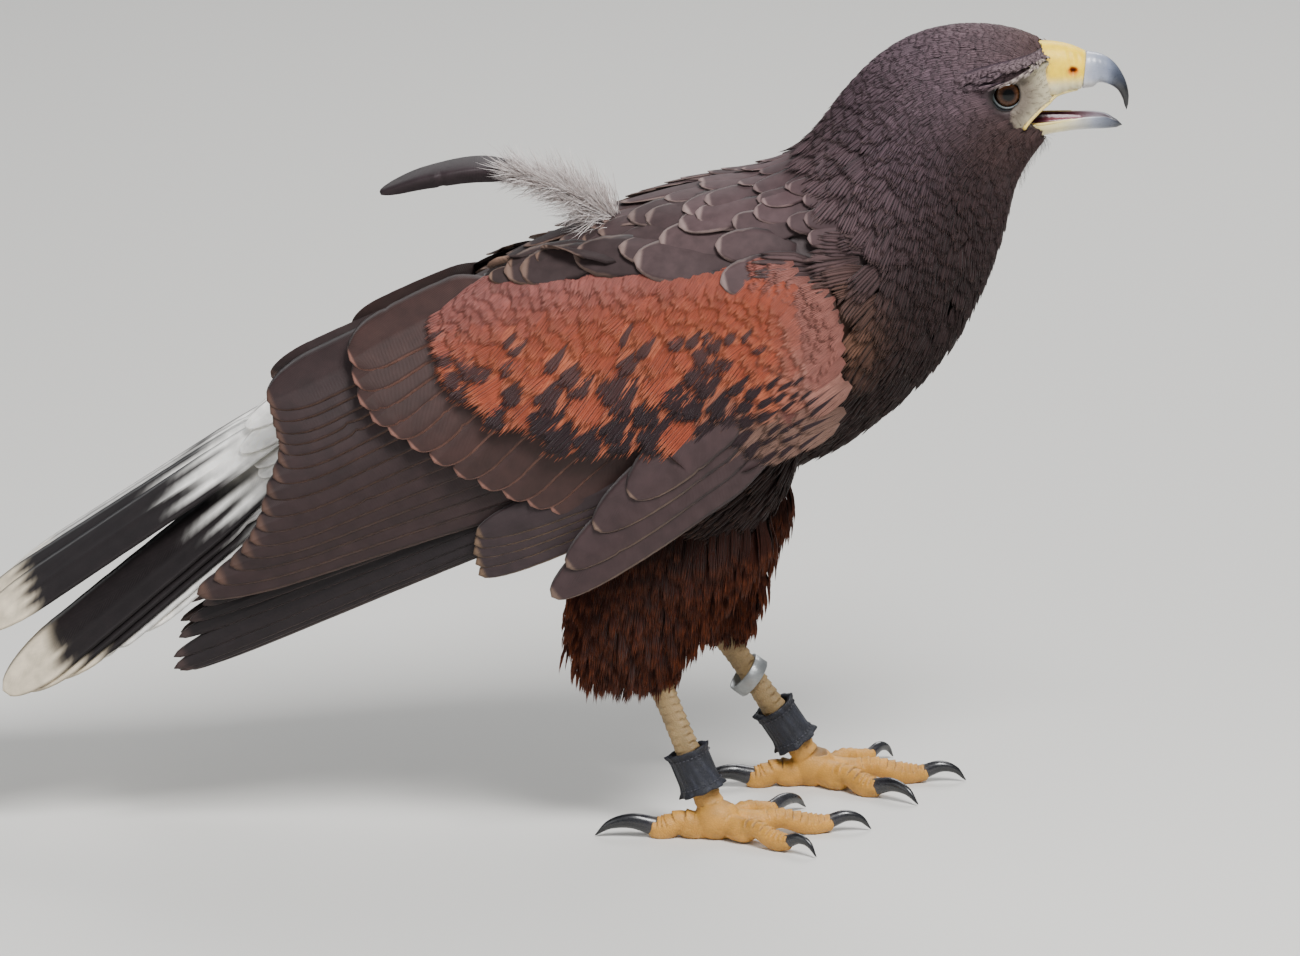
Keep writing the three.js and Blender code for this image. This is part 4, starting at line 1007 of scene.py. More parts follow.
# One row of a wing's feathers: copies of one surface, a lift apart, slanted so that each shaft lies at its depth
def wingRow(row, side):
    last = row["count"] - 1
    t = np.linspace(0, 1, row["count"])
    roots, tips = spline(row["roots"], t), spline(row["tips"], t)
    delta = tips - roots
    aside = np.stack([-delta[:, 1], delta[:, 0]], 1)
    lines = list(zip(roots, roots + delta * 0.55 - aside * row["bend"], tips))
    low, middle, high = lines[0], lines[last // 2], lines[last]
    columns = shaftColumns(row["shaft"])
    centre, rim = linear(row["centre"]), linear(row["rim"])
    parts = []
    for i, line in enumerate(lines):
        a, upper, lower = vaneEdges(row["rows"], row["taper"])
        half = row["width"] / 2 * (1 + 0.04 * draw.uniform(-1, 1))
        point, tangent = quadratic(*line, a)
        sideways = unit(np.stack([-tangent[:, 1], tangent[:, 0]], 1))
        flat = point[:, None] + sideways[:, None] * vaneReach(columns, upper, lower, half)[..., None]
        x, z = flat[..., 0], flat[..., 1]
        order = last * (z - heightAt(low, x)) / (heightAt(high, x) - heightAt(low, x))
        run = (x - middle[0][0]) / (middle[2][0] - middle[0][0])
        depth = mix(*row["insets"], run) + row["lift"] * (order - i)
        shaftUp = bell((columns - row["shaft"]) / 0.07) * vanePlan["shaftHeight"]
        up = vanePlan["thick"] * (1 - columns**8) + shaftUp * (1 - 0.75 * a[:, None])
        y = side * (wingHalf(x, z) - depth + (up - vanePlan["camber"] * columns**2))
        points = np.stack([x, y, z - wing["settle"][side]], -1)
        tone = 1 + 0.1 * draw.uniform(-1, 1)
        parts.append(vanePart(points, a, columns, np.linalg.norm(delta[i]), half, centre, rim,
                              rimMask(a, columns, row["edge"]), tileOf(i, row["count"]), tone, side > 0))
    return parts


# Coverts on the sheet: tips spread over the outline [x, z], with spacings as shares of the length
covertPlan = {
    "outline": [(12, 205), (2, 222), (-20, 226), (-50, 227), (-84, 226), (-112, 222), (-134, 208), (-130, 190),
                (-112, 169), (-88, 164), (-66, 162), (-38, 162), (-14, 160), (2, 158), (14, 166), (20, 185)],
    "along": (0.28, 0.42), "across": 0.18, "halfWidth": 0.225, "rootDepth": 1.45, "tipDepth": -0.1,
    "levels": [160, 180, 200, 220, 245], "lengths": [36, 34, 27, 19, 13],
    "front": {"spacing": 2.5, "length": 11, "rise": (-0.7, 0.35)},
}
covertColours = {
    # the small coverts' pale pink is partly their own colour, partly a painted highlight of sun and sheen on the
    # wing's top
    "small": ("#85504a", "#8f5b54"), "median": ("#8d4430", "#a0583e"), "lozenge": ("#2c1f22", "#4a302e"),
    "wrist": ("#7b524b", "#8b645b"), "alular": ("#3a2a2b", "#6c5248"), "top": ("#35282a", "#7c6354"),
}


def covertLength(x, z):
    toRear = smooth((25 - x) / 90)
    low = np.interp(z - 0.25 * (x + 50), covertPlan["levels"], covertPlan["lengths"])
    return low * mix(0.55, 1.0, toRear)


def covertFlow(x, z):
    angle = np.interp(x, [-130, -100, -60, -20, 10, 30], [34, 46, 54, 50, 32, 24])
    angle = np.radians(angle - 14 * smooth((z - 222) / 25))
    return np.stack([-np.cos(angle), -np.sin(angle)], 1)


# Colours of the coverts: pinkish brown above (its paleness partly a painted highlight of sun on the wing's top) and at
# the wrist, rufous below, dark beside the alula and the back
def covertPair(x, z):
    level = z - 0.25 * (x + 50)
    shares = {"median": smooth((236 - level) / 26), "wrist": smooth((x + 4) / 20) * 0.85,
              "alular": smooth((184 - z) / 12) * smooth((x + 36) / 18),
              "top": smooth((level - 235) / 6) * smooth((-52 - x) / 16)}
    pair = []
    for which in (0, 1):
        colour = np.tile(linear(covertColours["small"][which]), (len(x), 1))
        for key, share in shares.items():
            colour = blend(colour, covertColours[key][which], share)
        pair.append(colour)
    return pair, level


# Tips spread evenly, by a measure that is longer along the feathers than across them
def covertTips(rng):
    outline = np.array(covertPlan["outline"], float)
    tries = rng.uniform(outline.min(0), outline.max(0), (30000, 2))
    tries = tries[inside(covertPlan["outline"], tries[:, 0], tries[:, 1])]
    length, flow = covertLength(*tries.T), covertFlow(*tries.T)
    gap = mix(*covertPlan["along"], smooth((length - 18) / 14)) * length

    def tooNear(i, near):
        away = tries[near] - tries[i]
        along = away @ flow[i] / gap[i]
        across = (away @ np.array([-flow[i][1], flow[i][0]])) / (covertPlan["across"] * length[i])
        return (along**2 + across**2 < 1).any()

    kept = thin(tries, gap.max(), tooNear)
    turn = rng.normal(0, 0.07, (len(kept), 1))
    flow = flow[kept]
    flow = flow * np.cos(turn) + np.stack([-flow[:, 1], flow[:, 0]], 1) * np.sin(turn)
    return tries[kept], length[kept] * rng.uniform(0.92, 1.1, len(kept)), flow


def wingCoverts(side):
    rng = np.random.default_rng(40 + side)
    tips, length, flow = covertTips(rng)
    pair, level = covertPair(*tips.T)
    # how far a covert has the dark lozenge: full in the low rows, a narrow streak above, none in the smooth zone
    level = level - 0.35 * np.maximum(0, -78 - tips[:, 0])
    dark = smooth((216 - level) / 28) * smooth((6 - tips[:, 0]) / 34)
    chance = np.where(level < 178, 0.95, mix(0.0, 0.62, smooth(dark * 2)))
    wide = mix(0.25, 0.84, dark) * rng.uniform(0.75, 1.05, len(tips)) * (rng.random(len(tips)) < chance)
    lozenge = mix(*(linear(code) for code in covertColours["lozenge"]), smooth((level - 172) / 30)[:, None])
    centre = np.where((wide > 0)[:, None], lozenge, pair[0])
    forms = tufts(6, 17, 0.93, 0.03, (0, 0.3, 0.62, 0.86), (0.5, 1.0, 1.0, 0.85))
    parts = []
    for variant, shape, pick in dealt(forms, len(tips)):
        if side < 0:
            shape = {**shape, "faces": [f[:, ::-1] for f in shape["faces"]]}
        a, c = shape["along"][None], shape["across"][None]
        long, broad, way = length[pick][:, None], wide[pick][:, None], flow[pick]
        half = covertPlan["halfWidth"] * long
        root = tips[pick] - way * long
        sideways = np.stack([-way[:, 1], way[:, 0]], 1)
        bow = rng.uniform(-0.05, 0.05, (len(pick), 1)) * long * a**2
        flat = root[:, None] + way[:, None] * (a * long)[..., None]
        flat = flat + sideways[:, None] * (c * half + bow)[..., None]
        px, pz = flat[..., 0], flat[..., 1]
        depth = mix(covertPlan["rootDepth"], covertPlan["tipDepth"], a**0.9) + 0.04 * half * c**2
        depth = depth + rng.uniform(-0.1, 0.16, (len(pick), 1)) * a + 2.2 * smooth((px - 13) / 9)
        depth = depth + 3.2 * smooth((pz - np.interp(px, *scapularEdge) + 5) / 6)
        y = side * (wingHalf(px, pz) - depth + shape["up"][None] * 0.2)
        spot = broad * np.clip((a - 0.2) / 0.6, 0, 1) ** 1.1 * smooth((0.99 - a) / 0.14) ** 0.5
        mask = np.where(broad > 0, smooth((np.abs(c) - spot) / 0.3 + 0.5), 0.8 * smooth((a - 0.6) / 0.4))
        rootUv = skinUv(np.stack([root[:, 0], side * wingHalf(*root.T), root[:, 1] - wing["settle"][side]], 1))
        # each covert darkens towards its root, down to 0.8: painted shade under the coverts that overlap it
        tone = rng.uniform(0.9, 1.1, (len(pick), 1)) * mix(0.8, 1, smooth(a / 0.5)) * strandShade(shape, 0.08, variant)
        parts.append(copiesOf(shape, np.stack([px, y, pz - wing["settle"][side]], -1), rootUv, centre[pick],
                              pair[1][pick], mask, tone))
    return parts


# Silky coverts wrap the wrist and the arm's front edge
def frontCoverts():
    plan = covertPlan["front"]
    forms = tufts(6, 8, 0.85, 0.06)
    points = scatter(lambda p: coatRegions(p)["wing"] & (p[:, 0] > 4), plan["spacing"])
    flat = covertFlow(points[:, 0], points[:, 2])
    flow = np.stack([flat[:, 0], np.zeros(len(flat)), flat[:, 1]], 1) + draw.normal(0, 0.05, (len(flat), 3))
    pair, _ = covertPair(points[:, 0], points[:, 2])
    length = plan["length"] * draw.uniform(0.85, 1.15, len(points))
    options = {"mask": tuftEdge, "tone": 0.08, "thick": 0.18, "strandTone": 0.1, "rootShade": 0.85, "follow": 0.95}
    for side, name in sideNames.items():
        mine = np.flatnonzero(np.sign(points[:, 1]) == side)
        parts = layOnForm(points[mine], flow[mine], length[mine], 0.25 * length[mine], forms, plan["rise"],
                          [c[mine] for c in pair], options)
        addCoat(f"front_coverts_{name}", parts, bodyVane, "wing_feathers")


def layWings():
    for side, name in sideNames.items():
        for rowName, row in wingRows.items():
            replaced = [f"wing_{name}"] if rowName == "primaries" else []
            addCoat(f"{rowName}_{name}", wingRow(row, side), flightVane, "wing_feathers", *replaced)
        addCoat(f"median_coverts_{name}", wingCoverts(side), bodyVane, "wing_feathers")
    frontCoverts()


layWings()


# The tail: two halves that droop from a ridge, the right one turned down, and deck feathers that lie flat on them
tailPlan = {
    "root": (-134, 196), "slope": 34, "roll": 24, "droop": 16, "camber": 0.0018, "length": 216, "shaft": 0.25,
    "rootSpacing": 3, "tipSpacing": 8.5, "lift": 1.35, "leastAside": 0.8, "deckRoot": 0.3, "rows": 60,
}
# Rows: side, whether they are deck feathers, tips' distances from the middle, lengths, width, height, first place
tailRows = {
    "tail_feathers": {"replaced": ["tail"], "taper": 0.14, "rows": [
        (-1, False, [34, 37, 40, 42, 44], [217, 210, 198, 182, 162], 27, 0, 1),
        (1, False, [14, 22, 30, 38, 46], [216, 214, 211, 208, 203], 27, 0, 1),
        (-1, True, [5], [216], 27, 5.2, 0), (1, True, [7], [216], 27, 3.6, 0)]},
    "tail_coverts": {"replaced": [], "taper": 0.35, "rows": [
        (-1, False, [24, 34, 44], [84, 84, 80], 22, 2.5, 0), (1, False, [24, 33, 42], [84, 84, 80], 22, 2.5, 0),
        (-1, True, [9], [86], 20, 7, 0), (1, True, [9], [80], 20, 8.2, 0),
        (-1, False, [20, 34, 48], [98, 98, 92], 24, -8, 0), (1, False, [20, 33, 46], [98, 98, 92], 24, -8, 0)]},
}
tailColours = {"white": "#fbf8f2", "band": "#1a1415", "cream": "#dccdb4", "brown": "#3a2b2a"}


def tailVane(row, index, taper):
    side, deck, tips, lengths, width, stand, first = row
    order, length, tipAside = first + index, lengths[index], tips[index]
    slope, droop = math.radians(tailPlan["slope"]), math.radians(tailPlan["droop"])
    down = Vector((-math.cos(slope), 0, -math.sin(slope)))
    roll = (0 if deck else side * tailPlan["droop"]) - tailPlan["roll"]
    turn = Matrix.Rotation(math.radians(roll), 3, down)
    up = np.array(turn @ Vector((-math.sin(slope), 0, math.cos(slope))))
    out = np.array(turn @ Vector((0, side, 0)))
    rootAside = tipAside * tailPlan["deckRoot"] if deck else tailPlan["rootSpacing"] * (order + 0.5)
    a, inner, outer = vaneEdges(tailPlan["rows"], taper, 0.5)
    shaft = 0.0 if deck else tailPlan["shaft"]
    columns = shaftColumns(shaft)
    share = length * a / tailPlan["length"]
    aside = mix(rootAside, tipAside, share)[:, None] + vaneReach(columns, inner, outer, width / 2)
    if not deck:
        aside = np.maximum(tailPlan["leastAside"] + max(0, -stand) * math.tan(droop), aside)
    level = stand - aside**2 * tailPlan["camber"]
    if not deck:
        spacing = mix(tailPlan["rootSpacing"], tailPlan["tipSpacing"], share)[:, None]
        level = level + tailPlan["lift"] * (aside / spacing - order)
    level = level + 0.4 * (1 - columns**8) + bell((columns - shaft) / 0.06) * 0.5 * (1 - 0.7 * a[:, None])
    ridge = np.array([tailPlan["root"][0], 0, tailPlan["root"][1]])
    points = ridge + np.array(down) * (length * a)[:, None, None] + out * aside[..., None] + up * level[..., None]
    return points, a, columns, length, width / 2


# White at the root, a dark band and cream tips; the tail coverts are white, browner above
def tailPart(row, index, group, tile):
    points, a, columns, length, half = tailVane(row, index, tailRows[group]["taper"])
    full, along = np.ones((len(a), len(columns), 4)), a[:, None]
    if group == "tail_feathers":
        start = 0.44 + 0.07 * draw.uniform(-1, 1)
        streak = 0.09 * np.abs(columns)[None] + 0.06 * np.sin(columns * 9 + index)[None]
        white = 1 - smooth((along + streak - start) / 0.12)
        jagged = 0.012 * draw.uniform(-1, 1) + 0.012 * np.cos(columns * 11 + index)[None]
        cream = smooth((along - 0.85 - jagged) / 0.045)
        colour = blend(full * linear(tailColours["band"]), tailColours["white"], white)
        colour = blend(colour, tailColours["cream"], cream)
        if index > 2:
            edge = smooth((columns - 0.7) / 0.2)[None] * smooth((along - 0.5) / 0.1) * 0.85
            colour = blend(colour, tailColours["white"], edge)
    else:
        brown = 0.0 * along if row[5] < 0 else smooth((0.72 - along) / 0.3) * 0.75
        colour = blend(full * linear(tailColours["white"]), tailColours["brown"], brown)
    return vanePart(points, a, columns, length, half, colour, colour, np.zeros(full.shape[:2]), tile,
                    1 + 0.08 * draw.uniform(-1, 1), row[0] > 0)


def layTail():
    for group, plan in tailRows.items():
        pairs = [(row, i) for row in plan["rows"] for i in range(len(row[2]))]
        parts = [tailPart(row, i, group, tileOf(k, len(pairs))) for k, (row, i) in enumerate(pairs)]
        addCoat(group, parts, flightVane, "tail_feathers", *plan["replaced"])


layTail()


# Materials of horn, scales, skin, leather and metal: colours ride on the mesh as "tint", sizes are real, in metres
surfaceDefaults = {"stretch": (1, 1, 1), "cellSize": 0.01, "cellHeight": 0.0, "seamShade": 0.0}


def surfaceMaterial(name, settings):
    settings = {**surfaceDefaults, **settings}
    material, tree = newMaterial(name)
    tint = addNode(tree, "Attribute", {"attribute_name": "tint"})
    place = addNode(tree, "TexCoord").outputs["Object"]
    stretch = addNode(tree, "Mapping", {"Scale": settings["stretch"]}, {"Vector": place})
    mottle = addNode(tree, "TexNoise", {"Scale": 1 / settings["mottleSize"], "Detail": 5.0}, {"Vector": place})
    grain = addNode(tree, "TexNoise", {"Scale": 1 / settings["grainSize"], "Detail": 3.0}, {"Vector": stretch})
    cells = addNode(tree, "TexVoronoi", {"feature": "DISTANCE_TO_EDGE", "Scale": 1 / settings["cellSize"]},
                    {"Vector": place}).outputs["Distance"]
    dome = addNode(tree, "MapRange", {"From Max": 0.18, "To Max": settings["cellHeight"]}, {"Value": cells})
    height = addNode(tree, "Math", {"operation": "MULTIPLY_ADD", 1: settings["grainHeight"]},
                     {0: grain, 2: dome})
    seam = addNode(tree, "MapRange", {"From Max": 0.09, "To Min": 1 - settings["seamShade"]}, {"Value": cells})
    patch = addNode(tree, "MapRange", mottleRange(settings), {"Value": mottle})
    shade = addNode(tree, "Math", {"operation": "MULTIPLY"}, {0: seam, 1: patch})
    colour = addNode(tree, "VectorMath", {"operation": "SCALE"}, {0: tint, "Scale": shade})
    low, high = settings["roughness"]
    rough = addNode(tree, "MapRange", {"From Min": 0.3, "From Max": 0.7, "To Min": low, "To Max": high},
                    {"Value": grain})
    bump = addNode(tree, "Bump", {"Strength": settings["bump"], "Distance": 0.0004}, {"Height": height})
    shader = addNode(tree, "BsdfPrincipled", settings["shader"],
                     {"Base Color": colour, "Roughness": rough, "Normal": bump})
    addNode(tree, "OutputMaterial", None, {"Surface": shader})
    return material


# Horn grows in layers: a hard satin gloss with faint lengthways grain
hornMaterial = surfaceMaterial("bill horn, polished by wear", {
    "mottleSize": 0.005, "mottle": 0.12, "grainSize": 0.0006, "grainHeight": 0.25, "stretch": (0.35, 1, 1),
    "roughness": (0.24, 0.42), "bump": 0.35,
    "shader": {"IOR": 1.55, "Coat Weight": 0.2, "Coat Roughness": 0.2}})
clawMaterial = surfaceMaterial("claw horn, polished by wear", {
    "mottleSize": 0.004, "mottle": 0.2, "grainSize": 0.0007, "grainHeight": 0.35, "stretch": (0.35, 0.35, 1),
    "roughness": (0.2, 0.4), "bump": 0.4,
    "shader": {"IOR": 1.55, "Coat Weight": 0.25, "Coat Roughness": 0.15}})
# Waxy bare skin: an even soft gloss over fine pores, with a little light let in
cereMaterial = surfaceMaterial("cere, waxy bare skin", {
    "mottleSize": 0.003, "mottle": 0.12, "grainSize": 0.0005, "grainHeight": 0.5,
    "cellSize": 0.0007, "cellHeight": 0.15, "seamShade": 0.06, "roughness": (0.36, 0.55), "bump": 0.25,
    "shader": {"Subsurface Weight": 0.08, "Subsurface Scale": 0.001, "IOR": 1.42}})
# Moist skin of the mouth: a wet gloss
mouthMaterial = surfaceMaterial("mouth lining, moist skin", {
    "mottleSize": 0.0025, "mottle": 0.25, "grainSize": 0.0005, "grainHeight": 0.6,
    "cellSize": 0.0011, "cellHeight": 0.1, "seamShade": 0.1, "roughness": (0.25, 0.42), "bump": 0.15,
    "shader": {"Subsurface Weight": 0.1, "Subsurface Scale": 0.001, "Coat Weight": 0.15, "Coat Roughness": 0.15}})
# Scaled leg skin: dry, dull scutes with small reticulate scales between them, 1.3 mm across
scaleMaterial = surfaceMaterial("leg scutes, dry keratin", {
    "mottleSize": 0.007, "mottle": 0.2, "grainSize": 0.0006, "grainHeight": 0.3,
    "cellSize": 0.0012, "cellHeight": 0.5, "seamShade": 0.16, "roughness": (0.42, 0.66), "bump": 0.4,
    "shader": {"Subsurface Weight": 0.06, "Subsurface Scale": 0.001, "IOR": 1.5}})
# Vegetable-tanned strap leather, dyed and greased: a soft gloss on the raised grain
leatherMaterial = surfaceMaterial("anklet leather, dyed and greased", {
    "mottleSize": 0.006, "mottle": 0.35, "grainSize": 0.0004, "grainHeight": 0.5,
    "cellSize": 0.0009, "cellHeight": 0.55, "seamShade": 0.25, "roughness": (0.4, 0.68), "bump": 0.55,
    "shader": {"IOR": 1.5, "Specular IOR Level": 0.45}})
# Rolled aluminium strip, worn dull: rubbing marks run round the band
ringMaterial = surfaceMaterial("leg ring, worn aluminium", {
    "mottleSize": 0.003, "mottle": 0.12, "grainSize": 0.0004, "grainHeight": 0.5, "stretch": (0.2, 0.2, 1.6),
    "roughness": (0.32, 0.58), "bump": 0.35,
    "shader": {"Metallic": 0.85}})
# Wet cornea over the iris: a sharp, mirror-like catchlight
eyeMaterial = surfaceMaterial("eye, wet cornea over iris", {
    "mottleSize": 0.0012, "mottle": 0.25, "grainSize": 0.002, "grainHeight": 0.0,
    "roughness": (0.1, 0.14), "bump": 0.0,
    "shader": {"IOR": 1.38, "Specular IOR Level": 0.1, "Coat Weight": 0.4, "Coat Roughness": 0.02}})


# Bill, cere and mouth. Stations give a point on the upper and lower line, half width, and where it is widest
face = {
    "cere": [((108, 317.6), (108, 293), 9.6, 0.42), ((115.2, 317.6), (115.2, 294.8), 9, 0.42),
             ((122.5, 316.2), (121.5, 297.2), 7.9, 0.42), ((128.6, 313.7), (127, 298.6), 6.5, 0.42)],
    "bill": [((129.1, 313.6), (127.5, 298.7), 6.4, 0.4), ((134, 312.7), (131.6, 299.2), 5.4, 0.4),
             ((138.4, 310.5), (134, 301), 4.5, 0.4), ((142, 306.7), (138, 300.2), 3.6, 0.4),
             ((144.8, 301.4), (141.4, 298), 2.7, 0.4), ((146, 296.2), (143.4, 294.6), 1.8, 0.4),
             ((145.9, 292.2), (144.3, 291.6), 0.9, 0.4)],
    "billTip": (145.2, 0, 289.6),
    "mandible": [((104, 288), (106, 278.5), 11.5, 0.7), ((111, 288), (112.6, 279.8), 11, 0.7),
                 ((119.5, 288.6), (120.6, 281.2), 8.8, 0.7), ((128.5, 289.4), (128.8, 282), 6.2, 0.7),
                 ((136.5, 288.9), (136.8, 282.2), 4.2, 0.7), ((141.2, 286.6), (141.6, 282.6), 2.3, 0.6)],
    "mandibleTip": (143.6, 0, 283.6), "mandibleWall": 1.3,
    "tongue": [((106.5, 286.9), (106.5, 282.6), 4, 0.5), ((114, 287.4), (114, 283.6), 4.4, 0.5),
               ((121, 287.5), (121, 284.6), 3.6, 0.5), ((126.5, 287.4), (126.5, 285.4), 2.1, 0.5)],
    "tongueTip": (129.4, 0, 286.4),
    "nostril": (123.6, 7.6, 307.2), "nostrilRadius": 1.5,
}


def makeCere():
    obj = loftedPiece("cere_skin", bodyRings(face["cere"], 70, 90), (104, 0, 305), (129.4, 0, 306.4))
    points = vertexPoints(obj)
    x, y, z = points.T
    nx, ny, nz = face["nostril"]
    away = np.hypot((x - nx) / 1.25, z - nz) / face["nostrilRadius"]
    outside = np.abs(y) > 3
    hollow = np.where(outside, smooth(1.25 - away), 0)
    lip = np.where(outside, bell((away - 1.35) / 0.3), 0)
    points[:, 1] += np.sign(y) * (0.35 * lip - 2.4 * hollow)
    # faint folds where the wax-like skin meets the horn, and swelling over the nostril
    points[:, 1] += np.sign(y) * 0.15 * np.sin(x * 2.1 + z * 0.4) * smooth((x - 116) / 8)
    setPoints(obj.data, points)
    orange = bell(np.maximum(away - 0.75, 0) / 0.5) * outside
    colour = np.tile(linear("#fad01c"), (len(x), 1))
    # the dark red-brown by hollow squared is painted shade in the nostril's hollow
    for code, share in (("#e6dcb6", smooth((306 - z) / 6)), ("#dccdaa", smooth((115 - x) / 5) * smooth((312 - z) / 4)),
                        ("#d4642a", 0.85 * orange), ("#6e2c18", hollow**2),
                        ("#c9b886", smooth((x - 127.4) / 1.6) * 0.6)):
        colour = blend(colour, code, share)
    paint(obj, colour)
    return finish(obj, cereMaterial, "cere_skin", "cere")


def makeBill():
    obj = loftedPiece("bill_horn_upper", bodyRings(face["bill"], 90, 56), (127.4, 0, 306), face["billTip"])
    points = vertexPoints(obj)
    x, y, z = points.T
    along = np.clip((x - 127.5) / 12, 0, 1) * 0.55 + np.clip((312 - z) / 20, 0, 1) * smooth((x - 136) / 6) * 0.6
    # growth lines round the horn
    points[:, 1] *= 1 + 0.008 * np.sin(along * 60)
    setPoints(obj.data, points)
    colour = ramp(along, [(0, "#b9bac4"), (0.2, "#9297a6"), (0.5, "#70778a"), (0.75, "#3b404d"), (0.95, "#141519"),
                          (1.2, "#0d0d10")])
    paint(obj, blend(colour, "#c7c5c4", smooth((304 - z) / 3) * (1 - smooth(along * 1.7))))
    finish(obj, hornMaterial, "bill_horn", "bill_upper")


# The lower mandible is a trough: each ring runs round its outside and back along its inside
def makeMandible():
    angle = np.radians(np.linspace(-96, 96, 36))
    sine, cosine = np.sin(angle), rounded(np.cos(angle), 0.88)
    rings = []
    for i, (bx, bz, lx, lz, half, widest) in enumerate(spline(stationTable(face["mandible"]), np.linspace(0, 1, 60))):
        wall = mix(face["mandibleWall"], half * 0.8, smooth((i - 42) / 14))
        x, z = mix(lx, bx, widest), mix(lz, bz, widest)
        outer = np.stack([np.full(36, x), half * sine, z - (z - lz) * cosine], 1)
        inner = np.stack([np.full(36, x), (half - wall) * sine, z - (z - lz - wall * 1.4) * cosine + 0.2], 1)
        rings.append(np.concatenate([outer, inner[::-1]]))
    obj = loftedPiece("bill_horn_lower", rings, rings[0].mean(0) - [1, 0, 0], face["mandibleTip"])
    x, y, z = vertexPoints(obj).T
    isInner = np.arange(len(x)) % 72 >= 36
    colour = ramp(x, [(104, "#dcc98a"), (119, "#dccf9c"), (126, "#bdb9ae"), (132, "#8a8f9d"), (137, "#5d6270"),
                      (142.5, "#1a1b20")])
    colour = blend(colour, "#e6cf77", smooth((z - 286) / 2) * smooth((128 - x) / 6) * 0.7)
    inner = ramp(x, [(104, "#5a2531"), (124, "#6b3c46"), (134, "#8a8088"), (142, "#2a2a30")])
    paint(obj, np.where((isInner & (z < 288))[:, None], inner, colour))
    return finish(obj, hornMaterial, "bill_horn", "bill_lower")


def makeTongue():
    obj = loftedPiece("tongue_skin", bodyRings(face["tongue"], 50, 36, 0.95), (104.5, 0, 284.6), face["tongueTip"])
    points = vertexPoints(obj)
    x, y, z = points.T
    top = smooth((z - 285.4) / 1.2)
    points[:, 2] -= 0.55 * top * bell(y / 0.8) - 0.04 * np.sin(x * 2.5) * top
    setPoints(obj.data, points)
    paint(obj, ramp(x, [(104, "#4a1d28"), (118, "#6a2f3b"), (127, "#7d4a58")]))
    finish(obj, mouthMaterial, "mouth_skin", "tongue")


# Yellow fleshy edge of the gape: along the cere's lower edge, round the corner of the mouth, on to the mandible's rim
gapeEdge = {
    "upper": [(125.5, 298.6), (121, 298), (117, 296.6), (113.8, 295), (111, 293.2), (108.6, 291.2), (106.2, 288.9)],
    "corner": (104.2, 286.3), "lower": [106.5, 110, 114, 118.5, 123.5], "sunk": 0.35,
    "radius": [0.3, 0.5, 0.6, 0.65, 0.68, 0.7, 0.7, 0.72, 0.7, 0.66, 0.6, 0.5, 0.35],
}


def sideOf(tree, x, z, side):
    hit = tree.ray_cast(Vector((x, side * 60, z)), Vector((0, -side, 0)))[0]
    return abs(hit[1]) if hit else 0


def makeGapeEdges(cere):
    trees = formTree, treeOf(vertexPoints(cere), [tuple(p.vertices) for p in cere.data.polygons])
    rim = spline(stationTable(face["mandible"]), np.linspace(0, 1, 200))
    rimX, rimZ = (mix(rim[:, 2 + i], rim[:, i], rim[:, 5]) for i in (0, 1))
    for side, name in sideNames.items():
        path = [(x, side * (max(sideOf(tree, x, z + 0.6, side) for tree in trees) - gapeEdge["sunk"]), z)
                for x, z in gapeEdge["upper"] + [gapeEdge["corner"]]]
        for x in gapeEdge["lower"]:
            k = np.abs(rimX - x).argmin()
            path.append((x, side * (rim[k, 4] - 0.35), rimZ[k] + 0.14 * (rimZ[k] - rim[k, 3]) - 0.1))
        sizes = [(r * 0.8, r) for r in gapeEdge["radius"]]
        rings, centre, along = limbRings(path, sizes, 90, 14)
        obj = loftedPiece(f"gape_edge_{name}", rings, centre[0] - along[0] * 0.4, centre[-1] + along[-1] * 0.4)
        paint(obj, ramp(vertexPoints(obj)[:, 0], [(104, "#d3b45a"), (113, "#dcc679"), (127, "#dfd09a")]))
        finish(obj, cereMaterial, "cere_skin")


# Eyes: a globe with its pole on the line of sight, and lids that follow it
eyes = {
    "gazeAhead": 0.16, "iris": [(0, "#050505"), (2.2, "#050505"), (2.5, "#2a180f"), (3.6, "#452a19"), (4.3, "#38220f"),
                                (4.9, "#0f0b09"), (9, "#15100d")], "pupil": 2.3,
    "folds": [(5.5, 0.5, 5.75, "#555b5c"), (6.75, 0.85, 4.6, "#55565a"), (8.1, 0.8, 3.5, "#3f3636")],
}


def eyeFrame(side):
    gaze = unit(np.array([eyes["gazeAhead"], side, 0.02]))
    up = unit(np.array([0, 0, 1.0]) - gaze * gaze[2])
    ahead = np.cross(up, gaze) if side < 0 else np.cross(gaze, up)
    return np.array([eyePlan["x"], side * eyePlan["side"], eyePlan["z"]]), gaze, up, unit(ahead)


def makeEyes():
    turn = fullTurn(72)
    radius = eyePlan["radius"]
    for side, name in sideNames.items():
        centre, gaze, up, ahead = eyeFrame(side)
        circle = np.cos(turn)[:, None] * ahead + np.sin(turn)[:, None] * up
        rings = [centre + radius * (math.cos(t) * gaze + math.sin(t) * circle)
                 for t in np.radians(np.linspace(3, 176, 90))]
        obj = loftedPiece(f"globe_{name}", rings, centre + gaze * radius, centre - gaze * radius)
        points = vertexPoints(obj) - centre
        off = np.linalg.norm(points - (points @ gaze)[:, None] * gaze, axis=1)
        off = np.where(points @ gaze > 0, off, 9)
        around = np.arctan2(points @ up, points @ ahead)
        streak = 1 + 0.22 * np.sin(around * 31) * np.sin(around * 13 + 1) * (off > eyes["pupil"])
        paint(obj, ramp(off, eyes["iris"]) * streak[:, None] ** np.array([1, 1, 1, 0]))
        finish(obj, eyeMaterial, "eye_surface", f"eye_{name}")


